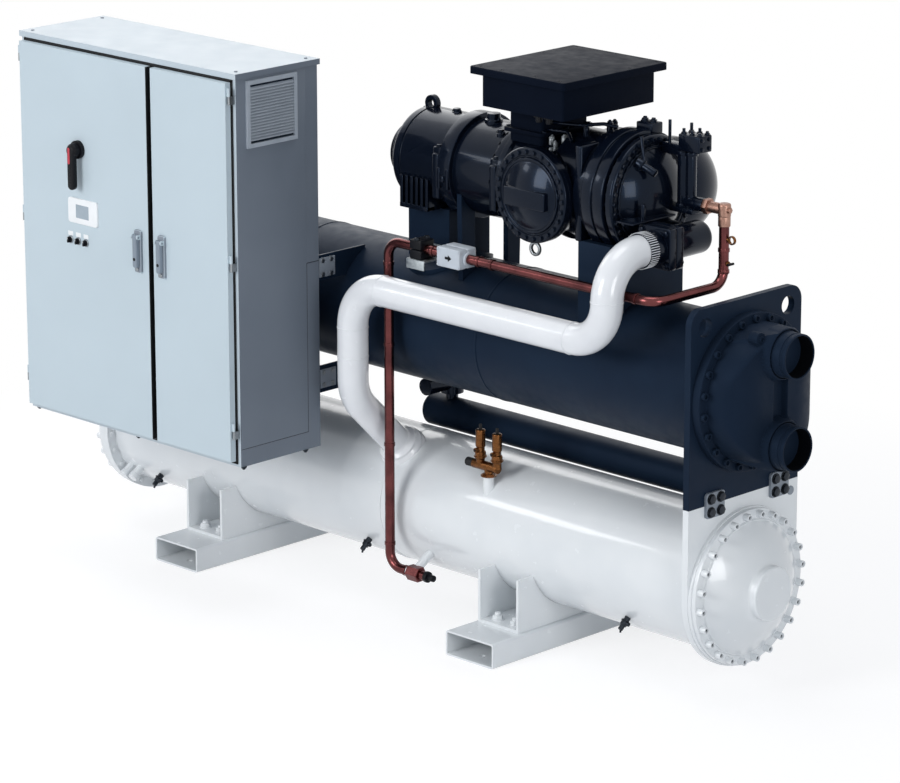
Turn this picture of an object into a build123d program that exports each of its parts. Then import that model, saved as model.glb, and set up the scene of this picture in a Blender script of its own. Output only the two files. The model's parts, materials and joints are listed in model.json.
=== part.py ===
from build123d import *
import os
from math import asin, cos, radians, sin, sqrt

# Water-cooled screw chiller: two stacked vessels on two foot beams, a screw compressor on top
# and a control cabinet hung on the front. Millimetres, +Z up, vessels along X, doors towards -Y.
# Places are measured from the outer face of the right end plate, the vessel axes and the floor.

# Vessels
VESSEL_LENGTH = 3235
EVAP_Z = 411
EVAP_R = 263
COND_Z = 1155
COND_R = 260

# End plates, which close both vessels at each end
PLATE = 28
PLATE_WIDTH = 608
PLATE_TOP = 1504
PLATE_SPLIT = 762
PLATE_CORNER = 60
LIFT_HOLE_R = 35
LIFT_HOLE_IN = 76
LIFT_HOLE_DOWN = 71
SEAT = 0.3

# Heads of the evaporator
EVAP_FLANGE_R = 302
EVAP_FLANGE = 32
EVAP_DISH_R = 258
EVAP_DISH = 84
EVAP_CROWN_X = 0.62
EVAP_CROWN_Z = 0.74
EVAP_BOSS_R = 103
EVAP_BOSS_FACE = 152
WATER_R = 84.15
WATER_WALL = 6.5
WATER_BORE_DEPTH = 110
EVAP_WATER_HALF_PITCH = 120
EVAP_WATER_REACH = 200
GROOVE_WIDTH = 10
GROOVE_DEPTH = 2.2
GROOVE_BACK = 16

# Water box and return head of the condenser
COND_FLANGE_R = 296
COND_FLANGE = 36
COND_BOX_R = 258
COND_BOX_FACE = 165
COND_RIDGE_HALF = 92
COND_ROOT_OUT = 8
COND_SIDE_X = 0.68
COND_SIDE_Y = 0.54
COND_WATER_HALF_PITCH = 173
COND_WATER_REACH = 250
COND_COLLAR_R = 95
COND_COLLAR_FACE = 190
POCKET_WIDTH = 78
POCKET_HEIGHT = 150
POCKET_DEPTH = 24
COND_RETURN_DISH = 96

# Plates that join the upper and lower end plates
JOINT_PLATE = 12
JOINT_WIDTH = 100
JOINT_HEIGHT = 96
JOINT_PLATE_Y = (-169, 190)
JOINT_CORNER = 12

# Foot beams and saddles
BEAM_X = (-2591, -934)
BEAM_WIDTH = 250
BEAM_HEIGHT = 100
BEAM_WALL = 8
BEAM_LENGTH = 960
BEAM_CORNER = 12
ANCHOR_HOLE_R = 11
ANCHOR_HOLE_PITCH = 820
SADDLE_WIDTH = 648
SADDLE_SPAN = 200
SADDLE_PLATE = 12
SADDLE_TOP = 310
SADDLE_BASE = 12

# Control cabinet
CAB_RIGHT = -1854
CAB_WIDTH = 1240
CAB_BACK = -370
CAB_DEPTH = 420
CAB_BOTTOM = 640
CAB_HEIGHT = 1535
CAB_SHEET = 3
CAB_RETURN = 32
MULLION_WIDTH = 84
MULLION_DEPTH = 30
ROOF_OVERHANG = 8
ROOF_SKIRT = 22
DOOR_GAP = 8
DOOR_DEPTH = 26
DOOR_SHEET = 3
DOOR_MARGIN_SIDE = 21
DOOR_MARGIN_BOTTOM = 23
DOOR_MARGIN_TOP = 34
DOOR_SPLIT_X = -2313
DOOR_SPLIT_GAP = 28
HINGE_OUT = 10
HINGE_FORWARD = 17
HINGE_R = 5
HINGE_PIN_R = 2.5
HINGE_HEIGHT = 62
HINGE_FROM_END = (92, 752, 1396)
PANEL_IN = 40
PANEL_SHEET = 3
PANEL_BOLT_R = 8

# Things on the doors
ISOLATOR_SHARE = 0.4625
ISOLATOR_Z = 1758
ISOLATOR_BASE_R = 34
ISOLATOR_BASE = 14
ISOLATOR_HUB_R = 27
ISOLATOR_HUB = 34
ISOLATOR_LEVER_WIDTH = 40
ISOLATOR_LEVER = 158
ISOLATOR_LEVER_DEPTH = 24
DISPLAY_SHARE = 0.4933
DISPLAY_Z = 1511
DISPLAY_WIDTH = 173
DISPLAY_HEIGHT = 101
DISPLAY_DEPTH = 9
DISPLAY_CORNER = 12
SCREEN_WIDTH = 76
SCREEN_HEIGHT = 54
SCREEN_SINK = 1.5
KNOB_SHARES = (0.382, 0.4437, 0.5054)
KNOB_Z = 1388
KNOB_R = 13
KNOB_DISC = 7
KNOB_GRIP = 12
KNOB_GRIP_WIDTH = 9
KNOB_GRIP_HEIGHT = 22
CASE_WIDTH = 38
CASE_HEIGHT = 168
CASE_DEPTH = 10
CASE_FROM_EDGE = 54
CASE_Z = 1410
LEVER_WIDTH = 24
LEVER_HEIGHT = 118
LEVER_DEPTH = 18
LEVER_SIDE = 1
LEVER_AXLE_R = 4

# Air grille in the right side of the cabinet
GRILLE_Y = -613
GRILLE_Z = 2012
GRILLE_SIZE = 258
GRILLE_BORDER = 16
GRILLE_DEPTH = 12
GRILLE_PITCH = 11.5
GRILLE_BLADE = 2.2
GRILLE_ANGLE = 40

# Brackets from the condenser to the cabinet
BRACKET_PLATE = 10
BRACKET_IN = 14
BRACKET_UPPER_Z = (1299, 1400)
BRACKET_LOWER_Z = (850, 957)
BRACKET_INNER_Y = -112

# Compressor
COMP_Z = 1785
MOTOR_LEFT = -1645
MOTOR_R = 184
MOTOR_SHOULDER = 18
MOTOR_RIM_R = 122
MOTOR_RIM = 58
MOTOR_COVER_R = 110
MOTOR_COVER = 82
BAND_X = -1346
BAND_WIDTH = 64
BAND_RISE = 20
MOTOR_RIB_X = (-1395, -1095)
MOTOR_RIB_WIDTH = 52
MOTOR_RIB_Y = 196
MOTOR_RIB_Z = (1673, 1872)
MOTOR_SADDLE_X = (-1590, -1441)
MOTOR_SADDLE_Y = 192
MOTOR_SADDLE_Z = (1612, 1740)
BODY_LEFT = -1075
BODY_R = 200
DRUM_LEFT = -807
DRUM_RIGHT = -493
DRUM_R = 226
DRUM_Z = 1804
DRUM_FLANGE = 28
DRUM_COVER_R = 182
DRUM_COVER_RISE = 68
ARMOUR_X = (-607, -505)
ARMOUR_RISE = 10
GATE_X = -845
GATE_R = 160
GATE_FLANGE_R = 180
GATE_FACE = 230
GATE_FLANGE = 24
GATE_COVER_R = 140
GATE_COVER_RISE = 34
SEPARATOR_Y = 290
SEPARATOR_Z = 1763
SEPARATOR_R = 190
SEPARATOR_LEFT = -655
SEPARATOR_RIGHT = -590
SEPARATOR_RISE = 120
LUG_X = -1600
LUG_TOP = 2017
LUG_WIDTH = 86
LUG_PLATE = 24
LUG_HOLE_R = 16

# Terminal box on the compressor
TBOX_X = -890
TBOX_WIDTH = 412
TBOX_DEPTH = 500
TBOX_BOTTOM = 2085
TBOX_HEIGHT = 123
TBOX_LID_WIDTH = 482
TBOX_LID_DEPTH = 566
TBOX_LID = 28
NECK_X = -990
NECK_WIDTH = 170
NECK_DEPTH = 250

# Compressor supports on the condenser
COLUMN_X = -1513
COLUMN_WIDTH = 220
COLUMN_DEPTH = 220
COLUMN_PAD_R = 170
COLUMN_PAD = 14
WEB_X = -1310
WEB_THICK = 24
WEB_WIDTH_TOP = 330
WEB_WIDTH_BOTTOM = 300
WEB_WINDOW = 180
PEDESTAL_X = -569
PEDESTAL_WIDTH = 160
PEDESTAL_DEPTH = 400
PEDESTAL_TOP = 1640

# Insulated suction pipe
SUCTION_R = 60
SUCTION_Y = -400
SUCTION_BEND = 165
SUCTION_BEND_RIGHT = 161
SUCTION_BEND_TOP = 160
SUCTION_BOOT_R = 92
SUCTION_BOOT = 96
SUCTION_BOOT_EDGE = 30
SUCTION_LEFT = -1637
SUCTION_RIGHT = -321
SUCTION_Z = 1336
SUCTION_DROP = 45
SUCTION_KNEE_Z = 890
SUCTION_END_Y = -230
SUCTION_VALVE_Z = 1660
SUCTION_NECK_Y = 40
VALVE_FLANGE = 36
VALVE_FLANGE_SIZE = 156
VALVE_FLANGE_GAP = 3
VALVE_BARREL_R = 62
VALVE_BARREL_END = 112
VALVE_NECK_R = 56
COLLAR = 80
COLLAR_R = 66

# Copper liquid line
COPPER_R = 19
COPPER_Y = -310
COPPER_LEFT = -1531
COPPER_RIGHT = -170
COPPER_TOP = 1508
COPPER_LOW = 208
COPPER_TAIL = -1330
COPPER_RISER_Y = 62
COPPER_RISER_TOP = 1790
COPPER_BEND = 60
COPPER_STUB_IN = 131
STUB_R = 17
STUB_RING_R = 26
STUB_RING = 51
ACTUATOR_X = -1170
ACTUATOR_LENGTH = 120
ACTUATOR_DEPTH = 92
ACTUATOR_HEIGHT = 76
ACTUATOR_CORNER = 6
FITTING_R = 25
FITTING_LENGTH = 84
MANIFOLD_X = (-465, -262)
MANIFOLD_Y = (30, 94)
MANIFOLD_Z = (1752, 1832)
MANIFOLD_COLUMN_X = (-372, -306)
MANIFOLD_COLUMN_R = 26
MANIFOLD_HEAD_X = (-420, -262)
MANIFOLD_HEAD_Y = (22, 122)
MANIFOLD_HEAD_Z = (1985, 2050)
MANIFOLD_LINK_Z = (1960, 2005)
CLAMP_X = -1352
CLAMP_WIDTH = 60
CLAMP_SIZE = 74
CLAMP_ARM = 8
CLAMP_ARM_DROP = 70

# Liquid vessel behind the evaporator, with its valve
LIQUID_Y = 195
LIQUID_Z = 691
LIQUID_R = 65
LIQUID_LEFT = -1825
LIQUID_CAP = 34
RISER_X = -1690
RISER_R = 24
RISER_BODY_R = 46
RISER_BODY = 96
RISER_HEAD_R = 34
RISER_HEAD = 150

# Relief valve and drain valves on the evaporator
RELIEF_X = -1110
RELIEF_Y = -195
RELIEF_STUB_R = 21
RELIEF_STUB = 52
RELIEF_TOP = 834
RELIEF_HALF_PITCH = 44
RELIEF_R = 17
RELIEF_BODY_RISE = 34
RELIEF_BODY_R = 20
RELIEF_BODY_LEFT = 40
RELIEF_BODY_RIGHT = 10
RELIEF_NUT_R = 23
RELIEF_NUT = (60, 92)
DRAIN_X = (-2989, -1756, -382)
DRAIN_ANGLE = 40
DRAIN_R = 11
DRAIN_LENGTH = 58
DRAIN_BODY = 26
DRAIN_BODY_AT = 0.62

# Values that follow from the sizes above
LEFT_FACE = -VESSEL_LENGTH
RIGHT_INNER = -PLATE
LEFT_INNER = LEFT_FACE + PLATE
CAB_LEFT = CAB_RIGHT - CAB_WIDTH
CAB_FRONT = CAB_BACK - CAB_DEPTH
CAB_TOP = CAB_BOTTOM + CAB_HEIGHT
DOOR_BACK = CAB_FRONT - DOOR_GAP
DOOR_FRONT = DOOR_BACK - DOOR_DEPTH
DOOR_LOW = CAB_BOTTOM + DOOR_MARGIN_BOTTOM
DOOR_HIGH = CAB_TOP - DOOR_MARGIN_TOP
LEFT_DOOR_X = (CAB_LEFT + DOOR_MARGIN_SIDE, DOOR_SPLIT_X - DOOR_SPLIT_GAP / 2)
RIGHT_DOOR_X = (DOOR_SPLIT_X + DOOR_SPLIT_GAP / 2, CAB_RIGHT - DOOR_MARGIN_SIDE)
LEFT_DOOR_WIDTH = LEFT_DOOR_X[1] - LEFT_DOOR_X[0]
ISOLATOR_X = LEFT_DOOR_X[0] + LEFT_DOOR_WIDTH * ISOLATOR_SHARE
DISPLAY_X = LEFT_DOOR_X[0] + LEFT_DOOR_WIDTH * DISPLAY_SHARE
KNOB_X = [LEFT_DOOR_X[0] + LEFT_DOOR_WIDTH * share for share in KNOB_SHARES]
COPPER_STUB_X = COPPER_LEFT + COPPER_STUB_IN
HINGE_Y = DOOR_BACK - HINGE_FORWARD
TBOX_TOP = TBOX_BOTTOM + TBOX_HEIGHT
LID_TOP = TBOX_TOP + TBOX_LID
FRONT_MOST = DOOR_FRONT - ISOLATOR_BASE - ISOLATOR_HUB
BACK_MOST = BEAM_LENGTH / 2
LEFT_MOST = LEFT_FACE - EVAP_WATER_REACH
CENTRE_X = (LEFT_MOST + COND_WATER_REACH) / 2
CENTRE_Y = (FRONT_MOST + BACK_MOST) / 2


def block(x, y, z):
    """Box between two limits on each axis."""
    size = (x[1] - x[0], y[1] - y[0], z[1] - z[0])
    centre = (x[0] + x[1]) / 2, (y[0] + y[1]) / 2, (z[0] + z[1]) / 2
    return Pos(*centre) * Box(*size)


def span(centre, width):
    """Two limits from a centre and a width."""
    return centre - width / 2, centre + width / 2


def rod_x(x, y, z, radius):
    """Cylinder along X between two limits."""
    return Pos((x[0] + x[1]) / 2, y, z) * Rot(0, 90, 0) * Cylinder(radius, x[1] - x[0])


def rod_y(x, y, z, radius):
    """Cylinder along Y between two limits."""
    return Pos(x, (y[0] + y[1]) / 2, z) * Rot(90, 0, 0) * Cylinder(radius, y[1] - y[0])


def rod_z(x, y, z, radius):
    """Cylinder along Z between two limits."""
    return Pos(x, y, (z[0] + z[1]) / 2) * Cylinder(radius, z[1] - z[0])


def turned(profile):
    """Solid of revolution about X from a closed profile in the XZ plane."""
    return revolve(make_face(profile), Axis.X)


def cap_arc(x, radius, rise):
    """Arc of a spherical cap from its rim down to the X axis."""
    ball = (radius**2 + rise**2) / (2 * abs(rise))
    half = asin(min(1, radius / ball)) / 2
    side = 1 if rise > 0 else -1
    centre = x + rise - side * ball
    middle = (centre + side * ball * cos(half), 0, ball * sin(half))
    return ThreePointArc((x, 0, radius), middle, (x + rise, 0, 0))


def domed_disc(rim_radius, rim, cap_radius, rise):
    """Round flange with a spherical cap on it, turned about X from a seat at zero."""
    edge = Polyline((0, 0, 0), (0, 0, rim_radius), (rim, 0, rim_radius), (rim, 0, cap_radius))
    return turned(edge + cap_arc(rim, cap_radius, rise) + Line((rim + rise, 0, 0), (0, 0, 0)))


def tube(route, bends, radius):
    """Round bar that follows straight runs joined by tangent arcs."""
    path = FilletPolyline(*route, radius=bends)
    start = Plane(origin=path @ 0, z_dir=path % 0)
    return sweep(start * Circle(radius), path=path)


def upright_plate(x, width, low, high):
    """Plate across the vessels with two rounded upper corners."""
    face = Plane.YZ.offset(x[0]) * Pos(0, (low + high) / 2) * Rectangle(width, high - low)
    plate = extrude(face, x[1] - x[0])
    top = plate.edges().filter_by(Axis.X).group_by(Axis.Z)[-1]
    return fillet(top, PLATE_CORNER)


def upper_end_plate(x):
    """Dark plate behind the condenser head, with two lifting holes."""
    plate = upright_plate(x, PLATE_WIDTH, PLATE_SPLIT, PLATE_TOP)
    for side in (-1, 1):
        y = side * (PLATE_WIDTH / 2 - LIFT_HOLE_IN)
        plate -= rod_x((x[0] - 1, x[1] + 1), y, PLATE_TOP - LIFT_HOLE_DOWN, LIFT_HOLE_R)
    return plate


def lower_end_plate(x):
    """White plate whose lower half follows the evaporator flange."""
    upper = block(x, span(0, PLATE_WIDTH), (EVAP_Z, PLATE_SPLIT))
    return upper + rod_x(x, 0, EVAP_Z, PLATE_WIDTH / 2)


def dished_head(face, side):
    """Bolted dished head with a flat round boss, turned about the evaporator axis."""
    flange = EVAP_FLANGE
    crown = EVAP_FLANGE + EVAP_DISH
    outline = Polyline(
        (0, 0, 0), (0, 0, EVAP_FLANGE_R), (flange, 0, EVAP_FLANGE_R), (flange, 0, EVAP_DISH_R)
    )
    dome = ThreePointArc(
        (flange, 0, EVAP_DISH_R),
        (flange + EVAP_DISH * EVAP_CROWN_X, 0, EVAP_DISH_R * EVAP_CROWN_Z),
        (crown, 0, EVAP_BOSS_R),
    )
    boss = Polyline(
        (crown, 0, EVAP_BOSS_R),
        (EVAP_BOSS_FACE, 0, EVAP_BOSS_R),
        (EVAP_BOSS_FACE, 0, 0),
        (0, 0, 0),
    )
    head = turned(outline + dome + boss)
    if side < 0:
        head = mirror(head, Plane.YZ)
    return Pos(face, 0, EVAP_Z) * head


def water_nozzle(face, side, reach, z):
    """Grooved steel water nozzle with its bore, pointing away along X."""
    mouth = face + side * reach
    ends = sorted((face, mouth))
    nozzle = rod_x(ends, 0, z, WATER_R)
    groove = sorted((mouth - side * GROOVE_BACK, mouth - side * (GROOVE_BACK + GROOVE_WIDTH)))
    nozzle -= rod_x(groove, 0, z, WATER_R + 1) - rod_x(groove, 0, z, WATER_R - GROOVE_DEPTH)
    return nozzle


def nozzle_bore(face, side, reach, z):
    """Bore of a water nozzle, as deep as its named depth."""
    mouth = face + side * reach
    ends = sorted((mouth - side * WATER_BORE_DEPTH, mouth + side))
    return rod_x(ends, 0, z, WATER_R - WATER_WALL)


def evaporator_water_box():
    """Left head of the evaporator with its two water nozzles."""
    box = dished_head(LEFT_FACE, -1)
    for level in (-1, 1):
        z = EVAP_Z + level * EVAP_WATER_HALF_PITCH
        box += water_nozzle(LEFT_FACE - EVAP_FLANGE, -1, EVAP_WATER_REACH - EVAP_FLANGE, z)
    for level in (-1, 1):
        z = EVAP_Z + level * EVAP_WATER_HALF_PITCH
        box -= nozzle_bore(LEFT_FACE, -1, EVAP_WATER_REACH, z)
    return box


def condenser_water_box():
    """Cast water box: a round base drawn in to an upright ridge that carries two nozzles."""
    root = COND_BOX_R + COND_ROOT_OUT
    side = ThreePointArc(
        (COND_FLANGE, -root, 0),
        (COND_FLANGE + (COND_BOX_FACE - COND_FLANGE) * COND_SIDE_X, -(root + COND_RIDGE_HALF) * COND_SIDE_Y, 0),
        (COND_BOX_FACE, -COND_RIDGE_HALF, 0),
    )
    front = Line((COND_BOX_FACE, -COND_RIDGE_HALF, 0), (COND_BOX_FACE, COND_RIDGE_HALF, 0))
    base = Polyline(
        (COND_FLANGE, root, 0), (0, root, 0), (0, -root, 0), (COND_FLANGE, -root, 0)
    )
    outline = side + front + mirror(side, Plane.XZ) + base
    ridge = extrude(make_face(outline), COND_BOX_R, both=True)
    drum = rod_x((0, COND_BOX_FACE), 0, 0, COND_BOX_R)
    box = Pos(0, 0, COND_Z) * (ridge & drum)
    box += rod_x((0, COND_FLANGE), 0, COND_Z, COND_FLANGE_R)
    for level in (-1, 1):
        z = COND_Z + level * COND_WATER_HALF_PITCH
        box += rod_x((COND_FLANGE, COND_COLLAR_FACE), 0, z, COND_COLLAR_R)
        box += water_nozzle(COND_FLANGE, 1, COND_WATER_REACH - COND_FLANGE, z)
    for level in (-1, 1):
        box -= nozzle_bore(0, 1, COND_WATER_REACH, COND_Z + level * COND_WATER_HALF_PITCH)
    pocket = Pos(COND_BOX_FACE, 0, COND_Z) * Box(POCKET_DEPTH * 2, POCKET_WIDTH, POCKET_HEIGHT)
    return box - pocket


def condenser_return_head():
    """Left head of the condenser, a bolted dished cover."""
    head = domed_disc(COND_FLANGE_R, COND_FLANGE, COND_BOX_R, COND_RETURN_DISH)
    return Pos(LEFT_FACE, 0, COND_Z) * mirror(head, Plane.YZ)


def joint_plate(x, y):
    """Small bolted plate across the split of the end plates."""
    face = Plane.YZ.offset(x[0]) * Pos(y, PLATE_SPLIT) * RectangleRounded(
        JOINT_WIDTH, JOINT_HEIGHT, JOINT_CORNER
    )
    return extrude(face, x[1] - x[0])


def foot_beam(x):
    """Hollow rectangular foot beam with open ends."""
    outer = RectangleRounded(BEAM_WIDTH, BEAM_HEIGHT, BEAM_CORNER)
    inner = RectangleRounded(
        BEAM_WIDTH - 2 * BEAM_WALL, BEAM_HEIGHT - 2 * BEAM_WALL, BEAM_CORNER - BEAM_WALL
    )
    section = Plane.XZ.offset(-BEAM_LENGTH / 2) * Pos(x, BEAM_HEIGHT / 2) * (outer - inner)
    beam = extrude(section, BEAM_LENGTH)
    for y in span(0, ANCHOR_HOLE_PITCH):
        beam -= rod_z(x, y, (-1, BEAM_WALL + 1), ANCHOR_HOLE_R)
    return beam


def saddle(x):
    """Base plate, two cradle plates and a back web that hold the evaporator."""
    half = SADDLE_WIDTH / 2
    low = BEAM_HEIGHT
    base = block(span(x, SADDLE_SPAN + SADDLE_PLATE), (-half, half), (low, low + SADDLE_BASE))
    body = base
    for side in (-1, 1):
        centre = x + side * SADDLE_SPAN / 2
        body += block(span(centre, SADDLE_PLATE), (-half, half), (low, SADDLE_TOP))
    body += block(span(x, SADDLE_SPAN), span(0, SADDLE_PLATE), (low, SADDLE_TOP))
    return body - rod_x(span(x, SADDLE_SPAN * 2), 0, EVAP_Z, EVAP_R + SEAT)


def cabinet_body():
    """Sheet-metal cabinet with an open front, folded returns, a post between the doors and a roof."""
    x = (CAB_LEFT, CAB_RIGHT)
    y = (CAB_FRONT, CAB_BACK)
    z = (CAB_BOTTOM, CAB_TOP - CAB_SHEET)
    body = block(x, y, z)
    inside = (x[0] + CAB_SHEET, x[1] - CAB_SHEET)
    body -= block(inside, (y[0] + CAB_SHEET, y[1] - CAB_SHEET), (z[0] + CAB_SHEET, z[1] - CAB_SHEET))
    mouth_x = (x[0] + CAB_RETURN, x[1] - CAB_RETURN)
    body -= block(mouth_x, (y[0] - 1, y[0] + CAB_SHEET + 1), (z[0] + CAB_RETURN, z[1] - CAB_RETURN))
    post_z = (z[0] + CAB_SHEET, z[1] - CAB_SHEET)
    body += block(span(DOOR_SPLIT_X, MULLION_WIDTH), (y[0], y[0] + MULLION_DEPTH), post_z)
    roof = block(
        (x[0] - ROOF_OVERHANG, x[1] + ROOF_OVERHANG),
        (y[0] - ROOF_OVERHANG, y[1] + ROOF_OVERHANG),
        (CAB_TOP - ROOF_SKIRT, CAB_TOP),
    )
    roof -= block(x, y, (CAB_TOP - ROOF_SKIRT, CAB_TOP - CAB_SHEET))
    window = GRILLE_SIZE - 2 * GRILLE_BORDER
    body -= block(
        (x[1] - 2 * CAB_SHEET, x[1] + 1), span(GRILLE_Y, window), span(GRILLE_Z, window)
    )
    return body + roof


def mounting_plate():
    """Flat plate for the electrical gear, on the back wall of the cabinet."""
    x = (CAB_LEFT + PANEL_IN, CAB_RIGHT - PANEL_IN)
    y = (CAB_BACK - CAB_SHEET - PANEL_IN, CAB_BACK - CAB_SHEET - PANEL_IN + PANEL_SHEET)
    z = (CAB_BOTTOM + PANEL_IN, CAB_TOP - PANEL_IN)
    plate = block(x, y, z)
    for bolt_x in (x[0] + PANEL_IN, x[1] - PANEL_IN):
        for bolt_z in (z[0] + PANEL_IN, z[1] - PANEL_IN):
            plate += rod_y(bolt_x, (y[0], CAB_BACK - CAB_SHEET), bolt_z, PANEL_BOLT_R)
    return plate


def door(x, edge, side, handle_x):
    """Folded door tray, open towards the cabinet, with its handle case and hinge knuckles."""
    tray = block(x, (DOOR_FRONT, DOOR_BACK), (DOOR_LOW, DOOR_HIGH))
    inner = (x[0] + DOOR_SHEET, x[1] - DOOR_SHEET)
    low_high = (DOOR_LOW + DOOR_SHEET, DOOR_HIGH - DOOR_SHEET)
    tray -= block(inner, (DOOR_FRONT + DOOR_SHEET, DOOR_BACK + 1), low_high)
    axis_x = edge + side * HINGE_OUT
    for low in hinge_lows():
        z = (low + HINGE_HEIGHT / 2 + SEAT, low + HINGE_HEIGHT)
        knuckle = block(sorted((edge, axis_x)), (HINGE_Y - HINGE_R / 2, HINGE_Y + HINGE_R / 2), z)
        knuckle += rod_z(axis_x, HINGE_Y, z, HINGE_R)
        tray += knuckle - rod_z(axis_x, HINGE_Y, (z[0] - 1, z[1] - HINGE_R), HINGE_PIN_R + SEAT)
    return tray + handle_case(handle_x)


def hinge_lows():
    """Lower end of each hinge."""
    return [DOOR_LOW + height for height in HINGE_FROM_END]


def door_hinges(edge, side):
    """Lower hinge halves with their pins, on leaves from the cabinet front."""
    hinges = []
    axis_x = edge + side * HINGE_OUT
    for low in hinge_lows():
        z = (low, low + HINGE_HEIGHT / 2)
        half = rod_z(axis_x, HINGE_Y, z, HINGE_R)
        half += block(sorted((axis_x, axis_x + side * HINGE_R)), (HINGE_Y, CAB_FRONT), z)
        hinges.append(half + rod_z(axis_x, HINGE_Y, (low, low + HINGE_HEIGHT - HINGE_R * 2), HINGE_PIN_R))
    return Compound(children=hinges)


def isolator_base():
    """Round seat of the isolator on the left door."""
    return rod_y(ISOLATOR_X, (DOOR_FRONT - ISOLATOR_BASE, DOOR_FRONT), ISOLATOR_Z, ISOLATOR_BASE_R)


def isolator_handle():
    """Turning handle of the isolator, with its lever hanging down at rest."""
    back = DOOR_FRONT - ISOLATOR_BASE - SEAT
    front = DOOR_FRONT - ISOLATOR_BASE - ISOLATOR_HUB
    hub = rod_y(ISOLATOR_X, (front, back), ISOLATOR_Z, ISOLATOR_HUB_R)
    lever_y = (front, front + ISOLATOR_LEVER_DEPTH)
    lever = block(span(ISOLATOR_X, ISOLATOR_LEVER_WIDTH), lever_y, (ISOLATOR_Z - ISOLATOR_LEVER, ISOLATOR_Z))
    tip = rod_y(ISOLATOR_X, lever_y, ISOLATOR_Z - ISOLATOR_LEVER, ISOLATOR_LEVER_WIDTH / 2)
    return hub + lever + tip


def display_panel():
    """Operator display with a sunk screen."""
    plane = Plane.XZ.offset(-DOOR_FRONT)
    plate = extrude(
        plane * Pos(DISPLAY_X, DISPLAY_Z) * RectangleRounded(DISPLAY_WIDTH, DISPLAY_HEIGHT, DISPLAY_CORNER),
        DISPLAY_DEPTH,
    )
    front = DOOR_FRONT - DISPLAY_DEPTH
    return plate - block(
        span(DISPLAY_X, SCREEN_WIDTH), (front - 1, front + SCREEN_SINK), span(DISPLAY_Z, SCREEN_HEIGHT)
    )


def selector_knob(x):
    """Selector switch knob: a disc with a raised grip."""
    disc_y = (DOOR_FRONT - KNOB_DISC, DOOR_FRONT - SEAT)
    disc = rod_y(x, disc_y, KNOB_Z, KNOB_R)
    grip_y = (DOOR_FRONT - KNOB_DISC - KNOB_GRIP, DOOR_FRONT - KNOB_DISC)
    grip = block(span(x, KNOB_GRIP_WIDTH), grip_y, span(KNOB_Z, KNOB_GRIP_HEIGHT))
    return disc + grip


def handle_case(x):
    """Shallow case of a swing handle, with two cheeks that hold its axle."""
    face = DOOR_FRONT - CASE_DEPTH
    case = block(span(x, CASE_WIDTH), (face, DOOR_FRONT), span(CASE_Z, CASE_HEIGHT))
    z = CASE_Z + LEVER_HEIGHT / 2
    y = face - SEAT - LEVER_DEPTH / 2
    cheek = (CASE_WIDTH - LEVER_WIDTH) / 2 - LEVER_SIDE
    for side in (-1, 1):
        centre = x + side * (CASE_WIDTH - cheek) / 2
        case += block(span(centre, cheek), (y, face), span(z, LEVER_DEPTH))
        case += rod_x(span(centre, cheek), y, z, LEVER_DEPTH / 2)
    return case - rod_x(span(x, CASE_WIDTH * 2), y, z, LEVER_AXLE_R + SEAT)


def swing_handle(x):
    """Lever of a swing handle, round at the axle so that it clears its case as it lifts."""
    back = DOOR_FRONT - CASE_DEPTH - SEAT
    y = back - LEVER_DEPTH / 2
    z = CASE_Z + LEVER_HEIGHT / 2
    lever = block(span(x, LEVER_WIDTH), (back - LEVER_DEPTH, back), (z - LEVER_HEIGHT, z))
    lever += rod_x(span(x, LEVER_WIDTH), y, z, LEVER_DEPTH / 2)
    return lever + rod_x(span(x, CASE_WIDTH), y, z, LEVER_AXLE_R)


def vent_grille():
    """Louvred air grille: a border frame and sloping blades."""
    x = (CAB_RIGHT, CAB_RIGHT + GRILLE_DEPTH)
    window = GRILLE_SIZE - 2 * GRILLE_BORDER
    frame = block(x, span(GRILLE_Y, GRILLE_SIZE), span(GRILLE_Z, GRILLE_SIZE))
    frame -= block((x[0] - 1, x[1] + 1), span(GRILLE_Y, window), span(GRILLE_Z, window))
    blade = Box(GRILLE_DEPTH / cos(radians(GRILLE_ANGLE)) - GRILLE_BLADE, window + 2, GRILLE_BLADE)
    count = int((window - GRILLE_PITCH) / GRILLE_PITCH)
    low = GRILLE_Z - (count - 1) * GRILLE_PITCH / 2
    for number in range(count):
        place = Pos(sum(x) / 2, GRILLE_Y, low + number * GRILLE_PITCH)
        frame += place * Rot(0, GRILLE_ANGLE, 0) * blade
    return frame


def cabinet_bracket(x, z):
    """Upright plate from the condenser shell to the back of the cabinet."""
    plate = block(span(x, BRACKET_PLATE), (CAB_BACK, BRACKET_INNER_Y), z)
    return plate - rod_x(span(x, BRACKET_PLATE * 3), 0, COND_Z, COND_R + SEAT)


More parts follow.
